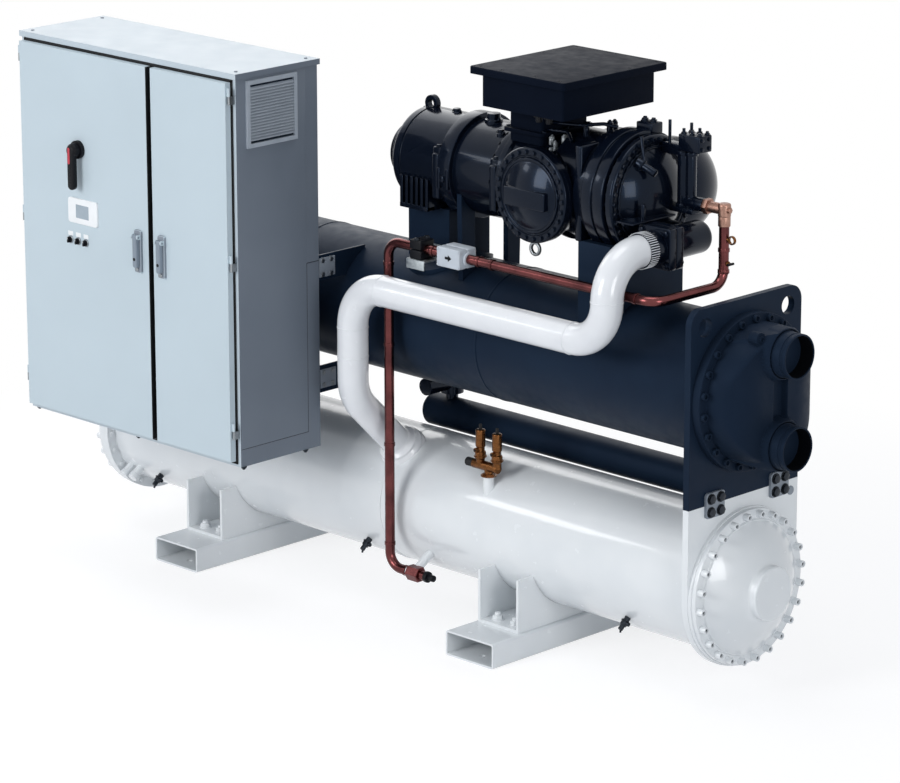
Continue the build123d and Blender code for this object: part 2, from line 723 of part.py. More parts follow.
def compressor_housing():
    """Motor barrel, middle body, end drum, cross barrel and separator barrel as one casting."""
    gate = GATE_FACE - GATE_FLANGE
    barrel = rod_x((MOTOR_LEFT, BODY_LEFT), 0, COMP_Z, MOTOR_R)
    barrel = fillet(barrel.edges().sort_by(Axis.X)[0], MOTOR_SHOULDER)
    lug = block(span(LUG_X, LUG_WIDTH), span(0, LUG_PLATE), (COMP_Z, LUG_TOP))
    lug -= rod_y(LUG_X, (-LUG_PLATE, LUG_PLATE), LUG_TOP - LUG_HOLE_R * 2, LUG_HOLE_R)
    saddle_y = (-MOTOR_SADDLE_Y, MOTOR_SADDLE_Y)
    ribs = [block(span(x, MOTOR_RIB_WIDTH), (-MOTOR_RIB_Y, MOTOR_RIB_Y), MOTOR_RIB_Z) for x in MOTOR_RIB_X]
    return barrel.fuse(
        rod_x(span(BAND_X, BAND_WIDTH), 0, COMP_Z, MOTOR_R + BAND_RISE),
        rod_x((BODY_LEFT, DRUM_LEFT), 0, COMP_Z, BODY_R),
        rod_x((DRUM_LEFT, DRUM_RIGHT), 0, DRUM_Z, DRUM_R),
        rod_x(ARMOUR_X, 0, DRUM_Z, DRUM_R + ARMOUR_RISE),
        rod_y(GATE_X, (-gate, gate), COMP_Z, GATE_R),
        rod_y(GATE_X, (-GATE_FACE, -gate), COMP_Z, GATE_FLANGE_R),
        rod_y(GATE_X, (gate, GATE_FACE), COMP_Z, GATE_FLANGE_R),
        rod_x((SEPARATOR_LEFT, SEPARATOR_RIGHT), SEPARATOR_Y, SEPARATOR_Z, SEPARATOR_R),
        block(MOTOR_SADDLE_X, saddle_y, MOTOR_SADDLE_Z),
        *ribs,
        lug,
    )


def motor_cover():
    """Stepped round cover on the left end of the motor barrel."""
    cover = rod_x((MOTOR_LEFT - MOTOR_RIM, MOTOR_LEFT), 0, COMP_Z, MOTOR_RIM_R)
    return cover + rod_x((MOTOR_LEFT - MOTOR_COVER, MOTOR_LEFT), 0, COMP_Z, MOTOR_COVER_R)


def gate_cover(side):
    """Dished round cover on the cross barrel."""
    cover = domed_disc(GATE_FLANGE_R, GATE_FLANGE, GATE_COVER_R, GATE_COVER_RISE)
    return Pos(GATE_X, side * GATE_FACE, COMP_Z) * Rot(0, 0, side * 90) * cover


def drum_cover():
    """Domed cover bolted on the right end of the drum."""
    cover = domed_disc(DRUM_R, DRUM_FLANGE, DRUM_COVER_R, DRUM_COVER_RISE)
    return Pos(DRUM_RIGHT, 0, DRUM_Z) * cover


def separator_dome():
    """Deep domed end of the separator barrel."""
    rim = Line((0, 0, 0), (0, 0, SEPARATOR_R))
    cap = turned(rim + cap_arc(0, SEPARATOR_R, SEPARATOR_RISE) + Line((SEPARATOR_RISE, 0, 0), (0, 0, 0)))
    return Pos(SEPARATOR_RIGHT, SEPARATOR_Y, SEPARATOR_Z) * cap - drum_space()


def drum_space():
    """Room that the drum, its armour ring and its flange take, with a seat gap."""
    space = rod_x((DRUM_LEFT, DRUM_RIGHT + DRUM_FLANGE + SEAT), 0, DRUM_Z, DRUM_R + SEAT)
    armour = (ARMOUR_X[0] - SEAT, ARMOUR_X[1] + SEAT)
    return space + rod_x(armour, 0, DRUM_Z, DRUM_R + ARMOUR_RISE + SEAT)


def manifold():
    """Block with two oil columns and their head, beside the drum cover."""
    flange_face = DRUM_RIGHT + DRUM_FLANGE
    body = block((flange_face, MANIFOLD_X[1]), MANIFOLD_Y, MANIFOLD_Z)
    for x in MANIFOLD_COLUMN_X:
        body += rod_z(x, sum(MANIFOLD_Y) / 2, (MANIFOLD_Z[1], MANIFOLD_HEAD_Z[0]), MANIFOLD_COLUMN_R)
    body += block(MANIFOLD_HEAD_X, MANIFOLD_HEAD_Y, MANIFOLD_HEAD_Z)
    body += block((flange_face, MANIFOLD_HEAD_X[1]), MANIFOLD_Y, MANIFOLD_LINK_Z)
    return body - drum_cover()


def terminal_box():
    """Terminal box on its neck, seated on the motor barrel and body."""
    box = block(span(TBOX_X, TBOX_WIDTH), span(0, TBOX_DEPTH), (TBOX_BOTTOM, TBOX_TOP))
    box += block(span(NECK_X, NECK_WIDTH), span(0, NECK_DEPTH), (COMP_Z, TBOX_BOTTOM))
    box -= rod_x((MOTOR_LEFT, DRUM_LEFT), 0, COMP_Z, BODY_R + SEAT)
    return box


def terminal_lid():
    """Overhanging lid of the terminal box."""
    lid = block(span(TBOX_X, TBOX_LID_WIDTH), span(0, TBOX_LID_DEPTH), (TBOX_TOP, LID_TOP))
    return lid


def motor_column():
    """Square column under the motor saddle, on a round pad that follows the condenser."""
    column_z = (COND_Z, MOTOR_SADDLE_Z[0])
    column = block(span(COLUMN_X, COLUMN_WIDTH), span(0, COLUMN_DEPTH), column_z)
    column -= rod_x(span(COLUMN_X, COLUMN_WIDTH * 2), 0, COMP_Z, MOTOR_R + SEAT)
    pad = rod_z(COLUMN_X, 0, (COND_Z, COMP_Z), COLUMN_PAD_R)
    pad &= rod_x(span(COLUMN_X, COLUMN_PAD_R * 3), 0, COND_Z, COND_R + COLUMN_PAD)
    column += pad
    return column - rod_x(span(COLUMN_X, COLUMN_PAD_R * 3), 0, COND_Z, COND_R + SEAT)


def middle_web():
    """Two legs that lean outwards, between the condenser and the motor barrel."""
    outline = Polyline(
        (-WEB_WIDTH_BOTTOM / 2, COND_Z),
        (WEB_WIDTH_BOTTOM / 2, COND_Z),
        (WEB_WIDTH_TOP / 2, COMP_Z - MOTOR_R / 3),
        (-WEB_WIDTH_TOP / 2, COMP_Z - MOTOR_R / 3),
        close=True,
    )
    web = extrude(Plane.YZ.offset(WEB_X) * make_face(outline), WEB_THICK)
    reach = span(WEB_X, WEB_THICK * 4)
    web -= block(reach, span(0, WEB_WINDOW), (COND_Z, COMP_Z))
    return web - rod_x(reach, 0, COMP_Z, MOTOR_R + SEAT) - rod_x(reach, 0, COND_Z, COND_R + SEAT)


def drum_pedestal():
    """Welded box under the drum, shaped to the drum above and the condenser below."""
    box = block(span(PEDESTAL_X, PEDESTAL_WIDTH), span(0, PEDESTAL_DEPTH), (COND_Z, PEDESTAL_TOP))
    reach = span(PEDESTAL_X, PEDESTAL_WIDTH * 3)
    box -= drum_space() + rod_x(reach, 0, COND_Z, COND_R + SEAT)
    return box - rod_x(reach, SEPARATOR_Y, SEPARATOR_Z, SEPARATOR_R + SEAT)


def suction_pipe():
    """Insulated pipe from the evaporator, up, along the front and back to the compressor."""
    slant = radians(SUCTION_DROP)
    fall = SUCTION_KNEE_Z - EVAP_Z
    foot = (SUCTION_LEFT, SUCTION_Y + fall * sin(slant) / cos(slant), EVAP_Z)
    route = [
        foot,
        (SUCTION_LEFT, SUCTION_Y, SUCTION_KNEE_Z),
        (SUCTION_LEFT, SUCTION_Y, SUCTION_Z),
        (SUCTION_RIGHT, SUCTION_Y, SUCTION_Z),
        (SUCTION_RIGHT, SUCTION_Y, SUCTION_VALVE_Z),
        (SUCTION_RIGHT, SUCTION_END_Y, SUCTION_VALVE_Z),
    ]
    pipe = tube(route, [SUCTION_BEND, SUCTION_BEND, SUCTION_BEND_RIGHT, SUCTION_BEND_TOP], SUCTION_R)
    boot_length = EVAP_R + SUCTION_BOOT
    boot = fillet(Cylinder(SUCTION_BOOT_R, boot_length).edges().group_by(Axis.Z)[-1], SUCTION_BOOT_EDGE)
    boot = Pos(*foot) * Rot(SUCTION_DROP, 0, 0) * Pos(0, 0, boot_length / 2) * boot
    return pipe + boot - rod_x((LEFT_INNER, RIGHT_INNER), 0, EVAP_Z, EVAP_R + SEAT)


def suction_valve():
    """Collar, paired flanges, valve barrel and neck between the suction pipe and the drum."""
    y = SUCTION_END_Y + COLLAR
    body = rod_y(SUCTION_RIGHT, (SUCTION_END_Y, y), SUCTION_VALVE_Z, COLLAR_R)
    square = span(SUCTION_VALVE_Z, VALVE_FLANGE_SIZE)
    across = span(SUCTION_RIGHT, VALVE_FLANGE_SIZE)
    for front in (y, y + VALVE_FLANGE + VALVE_FLANGE_GAP):
        body += block(across, (front, front + VALVE_FLANGE), square)
    body += rod_y(SUCTION_RIGHT, (y, VALVE_BARREL_END), SUCTION_VALVE_Z, VALVE_BARREL_R)
    neck = (DRUM_RIGHT + DRUM_FLANGE, SUCTION_RIGHT)
    body += rod_x(neck, SUCTION_NECK_Y, SUCTION_VALVE_Z, VALVE_NECK_R)
    return body - drum_cover()


def copper_line():
    """Copper pipe from the foot of the evaporator up, along the front and round to the compressor."""
    route = [
        (COPPER_TAIL, COPPER_Y, COPPER_LOW),
        (COPPER_LEFT, COPPER_Y, COPPER_LOW),
        (COPPER_LEFT, COPPER_Y, COPPER_TOP),
        (COPPER_RIGHT, COPPER_Y, COPPER_TOP),
        (COPPER_RIGHT, COPPER_RISER_Y, COPPER_TOP),
        (COPPER_RIGHT, COPPER_RISER_Y, COPPER_RISER_TOP),
    ]
    return tube(route, [COPPER_BEND] * 4, COPPER_R)


def angle_fitting():
    """Bronze angle piece on top of the copper riser, screwed into the manifold."""
    fitting = rod_x((MANIFOLD_X[1], COPPER_RIGHT), COPPER_RISER_Y, COPPER_RISER_TOP, FITTING_R)
    low = COPPER_RISER_TOP - FITTING_LENGTH
    fitting += rod_z(COPPER_RIGHT, COPPER_RISER_Y, (low, COPPER_RISER_TOP + FITTING_R), FITTING_R)
    return fitting - copper_line()


def copper_stub():
    """White stub between the evaporator and the foot of the copper line."""
    route = Line((COPPER_STUB_X, COPPER_Y, COPPER_LOW), (COPPER_STUB_X, 0, EVAP_Z))
    stub = sweep(Plane(origin=route @ 0, z_dir=route % 0) * Circle(STUB_R), path=route)
    stub -= rod_x((LEFT_INNER, RIGHT_INNER), 0, EVAP_Z, EVAP_R + SEAT)
    return stub + rod_x(span(COPPER_STUB_X, STUB_RING), COPPER_Y, COPPER_LOW, STUB_RING_R) - copper_line()


def actuator_box():
    """Filter box on the copper line."""
    box = block(
        span(ACTUATOR_X, ACTUATOR_LENGTH), span(COPPER_Y, ACTUATOR_DEPTH), span(COPPER_TOP, ACTUATOR_HEIGHT)
    )
    box = fillet(box.edges().filter_by(Axis.X), ACTUATOR_CORNER)
    return box - rod_x(span(ACTUATOR_X, ACTUATOR_LENGTH * 2), COPPER_Y, COPPER_TOP, COPPER_R + SEAT)


def pipe_clamp():
    """Clamp block on the copper line, carried by a folded bracket from the motor column."""
    clamp = block(span(CLAMP_X, CLAMP_WIDTH), span(COPPER_Y, CLAMP_SIZE), span(COPPER_TOP, CLAMP_SIZE))
    low = COPPER_TOP - CLAMP_SIZE / 2
    front = COPPER_Y - CLAMP_SIZE / 2
    wall = -COLUMN_DEPTH / 2
    arm_x = (COLUMN_X, CLAMP_X + CLAMP_WIDTH / 2)
    reach = (arm_x[0] - CLAMP_ARM, arm_x[1] + CLAMP_ARM)
    clamp += block((CLAMP_X - CLAMP_WIDTH / 2, arm_x[1]), (front, wall), (low - CLAMP_ARM, low))
    clamp += block(arm_x, (wall - CLAMP_ARM, wall), (low - CLAMP_ARM_DROP, low))
    clamp -= rod_x(reach, COPPER_Y, COPPER_TOP, COPPER_R + SEAT)
    return clamp - rod_x(reach, 0, COND_Z, COND_R + COLUMN_PAD + SEAT)


def liquid_vessel():
    """Dark horizontal vessel behind the evaporator, seated on the right end plate."""
    vessel = rod_x((LIQUID_LEFT + LIQUID_CAP, RIGHT_INNER), LIQUID_Y, LIQUID_Z, LIQUID_R)
    rim = Line((0, 0, 0), (0, 0, LIQUID_R))
    cap = turned(rim + cap_arc(0, LIQUID_R, -LIQUID_CAP) + Line((-LIQUID_CAP, 0, 0), (0, 0, 0)))
    return vessel + Pos(LIQUID_LEFT + LIQUID_CAP, LIQUID_Y, LIQUID_Z) * cap


def expansion_valve():
    """Upright valve between the condenser and the liquid vessel."""
    body = rod_z(RISER_X, LIQUID_Y, (LIQUID_Z, COND_Z), RISER_R)
    middle = (LIQUID_Z + LIQUID_R + COND_Z - COND_R) / 2
    body += rod_z(RISER_X, LIQUID_Y, span(middle, RISER_BODY), RISER_BODY_R)
    body += rod_y(RISER_X, (LIQUID_Y - RISER_HEAD, LIQUID_Y), middle, RISER_HEAD_R)
    body -= rod_x((LEFT_INNER, RIGHT_INNER), 0, COND_Z, COND_R + SEAT)
    return body - rod_x((LIQUID_LEFT, RIGHT_INNER), LIQUID_Y, LIQUID_Z, LIQUID_R + SEAT)


def relief_stub():
    """White stub under the relief valve."""
    surface = EVAP_Z + sqrt(EVAP_R**2 - RELIEF_Y**2)
    stub = rod_z(RELIEF_X, RELIEF_Y, (EVAP_Z, surface + RELIEF_STUB), RELIEF_STUB_R)
    return stub - rod_x(span(RELIEF_X, 200), 0, EVAP_Z, EVAP_R + SEAT)


def relief_valve():
    """Brass double relief valve: a change-over body with two upright valves."""
    low = EVAP_Z + sqrt(EVAP_R**2 - RELIEF_Y**2) + RELIEF_STUB
    middle = low + RELIEF_BODY_RISE
    body = rod_z(RELIEF_X, RELIEF_Y, (low, middle), RELIEF_R)
    left = RELIEF_X - RELIEF_HALF_PITCH - RELIEF_BODY_LEFT
    body += rod_x((left, RELIEF_X + RELIEF_HALF_PITCH + RELIEF_BODY_RIGHT), RELIEF_Y, middle, RELIEF_BODY_R)
    for side in (-1, 1):
        x = RELIEF_X + side * RELIEF_HALF_PITCH
        nut = [middle + height for height in RELIEF_NUT]
        body += rod_z(x, RELIEF_Y, (middle, RELIEF_TOP), RELIEF_R)
        body += rod_z(x, RELIEF_Y, nut, RELIEF_NUT_R)
    return body


def drain_valve(x):
    """Small capped valve that stands out from the lower front of the evaporator."""
    inner = EVAP_R + SEAT
    outer = inner + DRAIN_LENGTH
    angle = radians(DRAIN_ANGLE)
    start = (x, -inner * cos(angle), EVAP_Z - inner * sin(angle))
    end = (x, -outer * cos(angle), EVAP_Z - outer * sin(angle))
    line = Line(start, end)
    valve = sweep(Plane(origin=line @ 0, z_dir=line % 0) * Circle(DRAIN_R), path=line)
    valve += Pos(*(line @ DRAIN_BODY_AT)) * Rot(DRAIN_ANGLE, 0, 0) * Box(DRAIN_BODY, DRAIN_BODY, DRAIN_BODY)
    return valve - rod_x(span(x, 100), 0, EVAP_Z, inner)


def build_parts():
    """Every sub-part by its node name."""
    right = (RIGHT_INNER, 0)
    left = (LEFT_FACE, LEFT_INNER)
    shell_x = (LEFT_INNER, RIGHT_INNER)
    parts = {
        "evaporator_shell": rod_x(shell_x, 0, EVAP_Z, EVAP_R),
        "condenser_shell": rod_x(shell_x, 0, COND_Z, COND_R),
        "evaporator_plate_right": lower_end_plate(right),
        "evaporator_plate_left": lower_end_plate(left),
        "condenser_plate_right": upper_end_plate(right),
        "condenser_plate_left": upper_end_plate(left),
        "evaporator_head": dished_head(0, 1),
        "evaporator_water_box": evaporator_water_box(),
        "condenser_water_box": condenser_water_box(),
        "condenser_return_head": condenser_return_head(),
    }
    for name, x in zip(("left", "right"), BEAM_X):
        parts[f"foot_beam_{name}"] = foot_beam(x)
        parts[f"saddle_{name}"] = saddle(x)
    for name, x in (("left", (LEFT_FACE - JOINT_PLATE, LEFT_FACE)), ("right", (0, JOINT_PLATE))):
        plates = [joint_plate(x, y) for y in JOINT_PLATE_Y]
        parts[f"joint_plates_{name}"] = Compound(children=plates)
    parts["cabinet_body"] = cabinet_body()
    parts["mounting_plate"] = mounting_plate()
    left_handle_x = LEFT_DOOR_X[1] - CASE_FROM_EDGE
    right_handle_x = RIGHT_DOOR_X[0] + CASE_FROM_EDGE
    parts["left_door"] = door(LEFT_DOOR_X, LEFT_DOOR_X[0], -1, left_handle_x) + isolator_base()
    parts["right_door"] = door(RIGHT_DOOR_X, RIGHT_DOOR_X[1], 1, right_handle_x)
    parts["hinges_left"] = door_hinges(LEFT_DOOR_X[0], -1)
    parts["hinges_right"] = door_hinges(RIGHT_DOOR_X[1], 1)
    parts["isolator_handle"] = isolator_handle()
    parts["display_panel"] = display_panel()
    for number, x in enumerate(KNOB_X, 1):
        parts[f"selector_knob_{number}"] = selector_knob(x)
    parts["swing_handle_left"] = swing_handle(left_handle_x)
    parts["swing_handle_right"] = swing_handle(right_handle_x)
    parts["vent_grille"] = vent_grille()
    for name, x in (("left", CAB_LEFT + BRACKET_IN), ("right", CAB_RIGHT - BRACKET_IN)):
        arms = [cabinet_bracket(x, z) for z in (BRACKET_LOWER_Z, BRACKET_UPPER_Z)]
        parts[f"cabinet_brackets_{name}"] = Compound(children=arms)
    parts["compressor_housing"] = compressor_housing()
    parts["motor_cover"] = motor_cover()
    parts["gate_cover_front"] = gate_cover(-1)
    parts["gate_cover_back"] = gate_cover(1)
    parts["drum_cover"] = drum_cover()
    parts["separator_dome"] = separator_dome()
    parts["manifold"] = manifold()
    parts["terminal_box"] = terminal_box()
    parts["terminal_lid"] = terminal_lid()
    parts["motor_column"] = motor_column()
    parts["middle_web"] = middle_web()
    parts["drum_pedestal"] = drum_pedestal()
    parts["suction_pipe"] = suction_pipe()
    parts["suction_valve"] = suction_valve()
    parts["copper_line"] = copper_line()
    return parts


def build_small_parts():
    """Fittings on the pipes and vessels."""
    parts = {
        "angle_fitting": angle_fitting(),
        "copper_stub": copper_stub(),
        "actuator_box": actuator_box(),
        "pipe_clamp": pipe_clamp(),
        "liquid_vessel": liquid_vessel(),
        "expansion_valve": expansion_valve(),
        "relief_stub": relief_stub(),
        "relief_valve": relief_valve(),
    }
    parts["drain_valves"] = Compound(children=[drain_valve(x) for x in DRAIN_X])
    return parts


def main():
    """Write one STEP file per sub-part, with the origin below the middle of the whole."""
    os.makedirs("parts", exist_ok=True)
    origin = Pos(-CENTRE_X, -CENTRE_Y, 0)
    for name, solid in {**build_parts(), **build_small_parts()}.items():
        export_step(origin * solid, f"parts/{name}.step")


main()
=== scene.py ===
"""Looks of the water-cooled screw chiller: materials, fasteners, fittings, light and camera.

Every length is in millimetres in the vessel frame until a piece is made: X runs along the vessels
from the outer face of the right end plate, Y is zero on the vessel axes, and Z is zero on the floor.
"""
import json
import logging
import math
from dataclasses import dataclass
from enum import Enum

import bmesh
import bpy
import numpy as np
from mathutils import Matrix, Vector


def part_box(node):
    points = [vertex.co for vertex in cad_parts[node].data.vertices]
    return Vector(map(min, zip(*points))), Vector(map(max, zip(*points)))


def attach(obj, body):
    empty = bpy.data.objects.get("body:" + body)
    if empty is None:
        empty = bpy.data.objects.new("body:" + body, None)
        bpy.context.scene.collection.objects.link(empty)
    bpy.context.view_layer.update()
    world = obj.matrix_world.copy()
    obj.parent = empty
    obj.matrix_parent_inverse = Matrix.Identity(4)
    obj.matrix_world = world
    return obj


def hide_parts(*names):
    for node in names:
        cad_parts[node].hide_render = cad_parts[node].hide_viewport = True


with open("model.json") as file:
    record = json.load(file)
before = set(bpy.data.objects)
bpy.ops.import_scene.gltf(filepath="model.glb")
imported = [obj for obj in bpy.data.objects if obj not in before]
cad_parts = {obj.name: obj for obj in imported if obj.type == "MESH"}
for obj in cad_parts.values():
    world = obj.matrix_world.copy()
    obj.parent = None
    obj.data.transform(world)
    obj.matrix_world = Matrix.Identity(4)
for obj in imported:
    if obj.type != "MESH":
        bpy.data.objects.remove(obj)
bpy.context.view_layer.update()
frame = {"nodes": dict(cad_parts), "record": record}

MM = 0.001
LOG = logging.getLogger("chiller")


def vessel_shift() -> np.ndarray:
    """Shift from the vessel frame to the row frame, in millimetres, read from two CAD boxes.

    Returns:
        Three lengths to add to a point of the vessel frame.
    """
    plate_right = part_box("condenser_plate_right")[1]
    shell_low, shell_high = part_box("evaporator_shell")
    return np.array([plate_right.x, (shell_low.y + shell_high.y) / 2, 0.0]) / MM


SHIFT = vessel_shift()
X_AXIS = np.array([1.0, 0.0, 0.0])
Y_AXIS = np.array([0.0, 1.0, 0.0])
Z_AXIS = np.array([0.0, 0.0, 1.0])


@dataclass
class Shape:
    """Points in millimetres, and the faces over them as arrays of equal corner counts."""

    points: np.ndarray
    faces: list[np.ndarray]

    def __add__(self, other: "Shape") -> "Shape":
        """Both shapes in one, with the second one's faces renumbered."""
        shift = len(self.points)
        return Shape(np.vstack((self.points, other.points)), self.faces + [face + shift for face in other.faces])

    def volume(self) -> float:
        """Signed volume: each face as a fan of triangles with the origin, summed as triple products."""
        total = 0.0
        for face in self.faces:
            corners = self.points[face]
            first = corners[:, :1]
            total += np.sum(np.cross(corners[:, 1:-1], corners[:, 2:]) * first)
        return float(total)

    def outward(self) -> "Shape":
        """The same shape with its faces turned outwards."""
        if self.volume() >= 0:
            return self
        return Shape(self.points, [face[:, ::-1] for face in self.faces])

    def at(self, origin: np.ndarray | tuple[float, ...], axis: np.ndarray = Z_AXIS,
           up: np.ndarray | None = None) -> "Shape":
        """The shape stood on a point, with its own Z along an axis.

        Args:
            origin: Where the shape's own zero goes.
            axis: Direction of the shape's own Z.
            up: Direction that the shape's own Y leans to.

        Returns:
            A new shape: its points turned by the three directions, then moved.
        """
        return self.copies(np.atleast_2d(np.asarray(origin, float)), axis, up)

    def copies(self, origins: np.ndarray, axis: np.ndarray, up: np.ndarray | None = None) -> "Shape":
        """One copy of the shape at each origin, all turned alike.

        Args:
            origins: Rows of points.
            axis: Direction of every copy's own Z.
            up: Direction that every copy's own Y leans to.

        Returns:
            All the copies as one shape.
        """
        axis = np.asarray(axis, float) / np.linalg.norm(axis)
        if up is None:
            up = Z_AXIS if abs(axis[2]) < 0.9 else Y_AXIS
        side = np.cross(up, axis)
        side = side / np.linalg.norm(side)
        turned = self.points @ np.vstack((side, np.cross(axis, side), axis))
        moved = turned[None, :, :] + np.asarray(origins, float)[:, None, :]
        count, size = len(moved), len(self.points)
        steps = np.arange(count)[:, None, None] * size
        faces = [(face[None, :, :] + steps).reshape(-1, face.shape[1]) for face in self.faces]
        return Shape(moved.reshape(-1, 3), faces)


def joined(shapes: list[Shape]) -> Shape:
    """Several shapes as one."""
    total = shapes[0]
    for shape in shapes[1:]:
        total = total + shape
    return total


def grid(points: np.ndarray, wrap_rows: bool = False) -> Shape:
    """Closed skin over rings of points: quads between neighbours, and a flat face on each open end.

    Args:
        points: Rings by points by three, where each ring closes on itself.
        wrap_rows: Whether the last ring joins the first, as in a torus.

    Returns:
        The shape, faces outwards.
    """
    rows, columns = points.shape[:2]
    row = np.arange(rows if wrap_rows else rows - 1)[:, None]
    column = np.arange(columns)[None, :]
    after = (column + 1) % columns
    below = (row + 1) % rows
    quads = np.stack(np.broadcast_arrays(
        row * columns + column, row * columns + after, below * columns + after, below * columns + column), -1)
    faces = [quads.reshape(-1, 4)]
    if not wrap_rows:
        if np.ptp(points[0], axis=0).max() > 1e-6:
            faces.append(np.arange(columns)[None, ::-1])
        if np.ptp(points[-1], axis=0).max() > 1e-6:
            faces.append((rows - 1) * columns + np.arange(columns)[None, :])
    return Shape(points.reshape(-1, 3), faces).outward()


def turned(profile: list[tuple[float, float]] | np.ndarray, segments: int = 64, ring: bool = False) -> Shape:
    """Solid of revolution: each profile point (height, radius) runs round the own Z axis.

    Args:
        profile: Heights and radii from one end to the other, or round a closed section.
        segments: Points round the axis.
        ring: Whether the profile is a closed section, as for a ring.

    Returns:
        The shape: x = radius times cosine, y = radius times sine, z = height.
    """
    profile = np.asarray(profile, float)
    angle = np.linspace(0, 2 * math.pi, segments, endpoint=False)
    circle = np.stack((np.cos(angle), np.sin(angle)), -1)
    points = np.empty((len(profile), segments, 3))
    points[..., :2] = profile[:, 1, None, None] * circle[None]
    points[..., 2] = profile[:, 0, None]
    return grid(points, wrap_rows=ring)


def arc(centre: tuple[float, float], radius: float, start: float, end: float, steps: int = 6) -> np.ndarray:
    """Points on an arc of a circle, from one angle to another in degrees."""
    angle = np.radians(np.linspace(start, end, steps + 1))
    return np.stack((centre[0] + radius * np.cos(angle), centre[1] + radius * np.sin(angle)), -1)


def softened(profile: list[tuple[float, float, float]], steps: int = 4) -> np.ndarray:
    """A profile whose corners are rounded by quadratic curves.

    Args:
        profile: Rows of height, radius and corner reach.
        steps: Points on each rounded corner.

    Returns:
        Points: at a corner p with neighbours a and b, the curve (1-t)^2 a' + 2t(1-t) p + t^2 b', where
        a' and b' lie one reach from p.
    """
    rows = np.asarray(profile, float)
    places, reach = rows[:, :2], rows[:, 2]
    result = [places[:1]]
    step = np.linspace(0, 1, steps + 1)[:, None]
    for here in range(1, len(places) - 1):
        corner = places[here]
        if reach[here] <= 0:
            result.append(corner[None])
            continue
        before, after = places[here - 1] - corner, places[here + 1] - corner
        first = corner + before / np.linalg.norm(before) * min(reach[here], np.linalg.norm(before) * 0.49)
        last = corner + after / np.linalg.norm(after) * min(reach[here], np.linalg.norm(after) * 0.49)
        result.append((1 - step) ** 2 * first + 2 * step * (1 - step) * corner + step**2 * last)
    result.append(places[-1:])
    return np.vstack(result)


def rounded_rectangle(width: float, height: float, radius: float, steps: int = 5) -> np.ndarray:
    """Closed outline of a rectangle with round corners, centred on zero."""
    radius = min(radius, width / 2 - 0.01, height / 2 - 0.01)
    corners = []
    for quarter, (x, y) in enumerate(((1, 1), (-1, 1), (-1, -1), (1, -1))):
        centre = (x * (width / 2 - radius), y * (height / 2 - radius))
        corners.append(arc(centre, radius, quarter * 90, quarter * 90 + 90, steps))
    return np.vstack(corners)


def shrunk(outline: np.ndarray, inset: float) -> np.ndarray:
    """A convex outline moved inwards along its corner normals by an inset."""
    edges = np.roll(outline, -1, 0) - outline
    edges = edges / np.maximum(np.linalg.norm(edges, axis=1, keepdims=True), 1e-9)
    normal = np.stack((edges[:, 1], -edges[:, 0]), -1)
    joint = normal + np.roll(normal, 1, 0)
    length = np.maximum(np.sum(joint * joint, axis=1, keepdims=True), 0.6)
    area = np.sum(outline[:, 0] * np.roll(outline[:, 1], -1) - np.roll(outline[:, 0], -1) * outline[:, 1])
    return outline - np.sign(area) * inset * 2 * joint / length


def slab(outline: np.ndarray, depth: float, edge: float = 1.0, both: bool = False, steps: int = 3) -> Shape:
    """Plate from an outline carried along Z, with rounded edges.

    Args:
        outline: Closed convex outline.
        depth: Thickness along Z, from zero.
        edge: Radius of the rounded edges on the far side.
        both: Whether the near side is rounded too.
        steps: Rings on each rounded edge.

    Returns:
        The shape: a ring at height z has the outline moved in by edge minus edge times cosine.
    """
    edge = max(min(edge, depth * 0.49), 0.01)
    angle = np.linspace(0, math.pi / 2, steps + 1)
    inset = edge * (1 - np.cos(angle))
    height = depth - edge + edge * np.sin(angle)
    levels = [(0.0, 0.0)]
    if both:
        levels = list(zip(inset[::-1], depth - height[::-1]))
    levels += list(zip(inset, height))
    rings = [np.column_stack((shrunk(outline, ring_inset), np.full(len(outline), ring_height)))
             for ring_inset, ring_height in levels]
    return grid(np.stack(rings))


def block(x: tuple[float, float], y: tuple[float, float], z: tuple[float, float], edge: float = 2.0) -> Shape:
    """Box between two limits on each axis, with rounded edges."""
    size = (x[1] - x[0], y[1] - y[0], z[1] - z[0])
    shape = slab(rounded_rectangle(size[0], size[1], edge + 0.01, 3), size[2], edge, True)
    return shape.at(((x[0] + x[1]) / 2, (y[0] + y[1]) / 2, z[0]), Z_AXIS, Y_AXIS)


def rounded_route(corners: list[tuple[float, float, float]], reach: list[float], steps: int = 14) -> np.ndarray:
    """Points along straight runs joined by circular bends.

    Args:
        corners: The route's corners.
        reach: Bend radius at each inner corner.
        steps: Points on each bend.

    Returns:
        Rows of points: on a bend of radius r between unit runs a and b, the angle runs over the bend
        from the first tangent point about the centre that both runs share.
    """
    places = np.asarray(corners, float)
    result = [places[:1]]
    for here, radius in zip(range(1, len(places) - 1), reach):
        before = places[here] - places[here - 1]
        after = places[here + 1] - places[here]
        before, after = before / np.linalg.norm(before), after / np.linalg.norm(after)
        bend = math.acos(float(np.clip(before @ after, -1, 1)))
        start = places[here] - before * radius * math.tan(bend / 2)
        inward = after - before * (before @ after)
        inward = inward / np.linalg.norm(inward)
        angle = np.linspace(0, bend, steps + 1)[:, None]
        result.append(start + before * radius * np.sin(angle) + inward * radius * (1 - np.cos(angle)))
    result.append(places[-1:])
    return np.vstack(result)


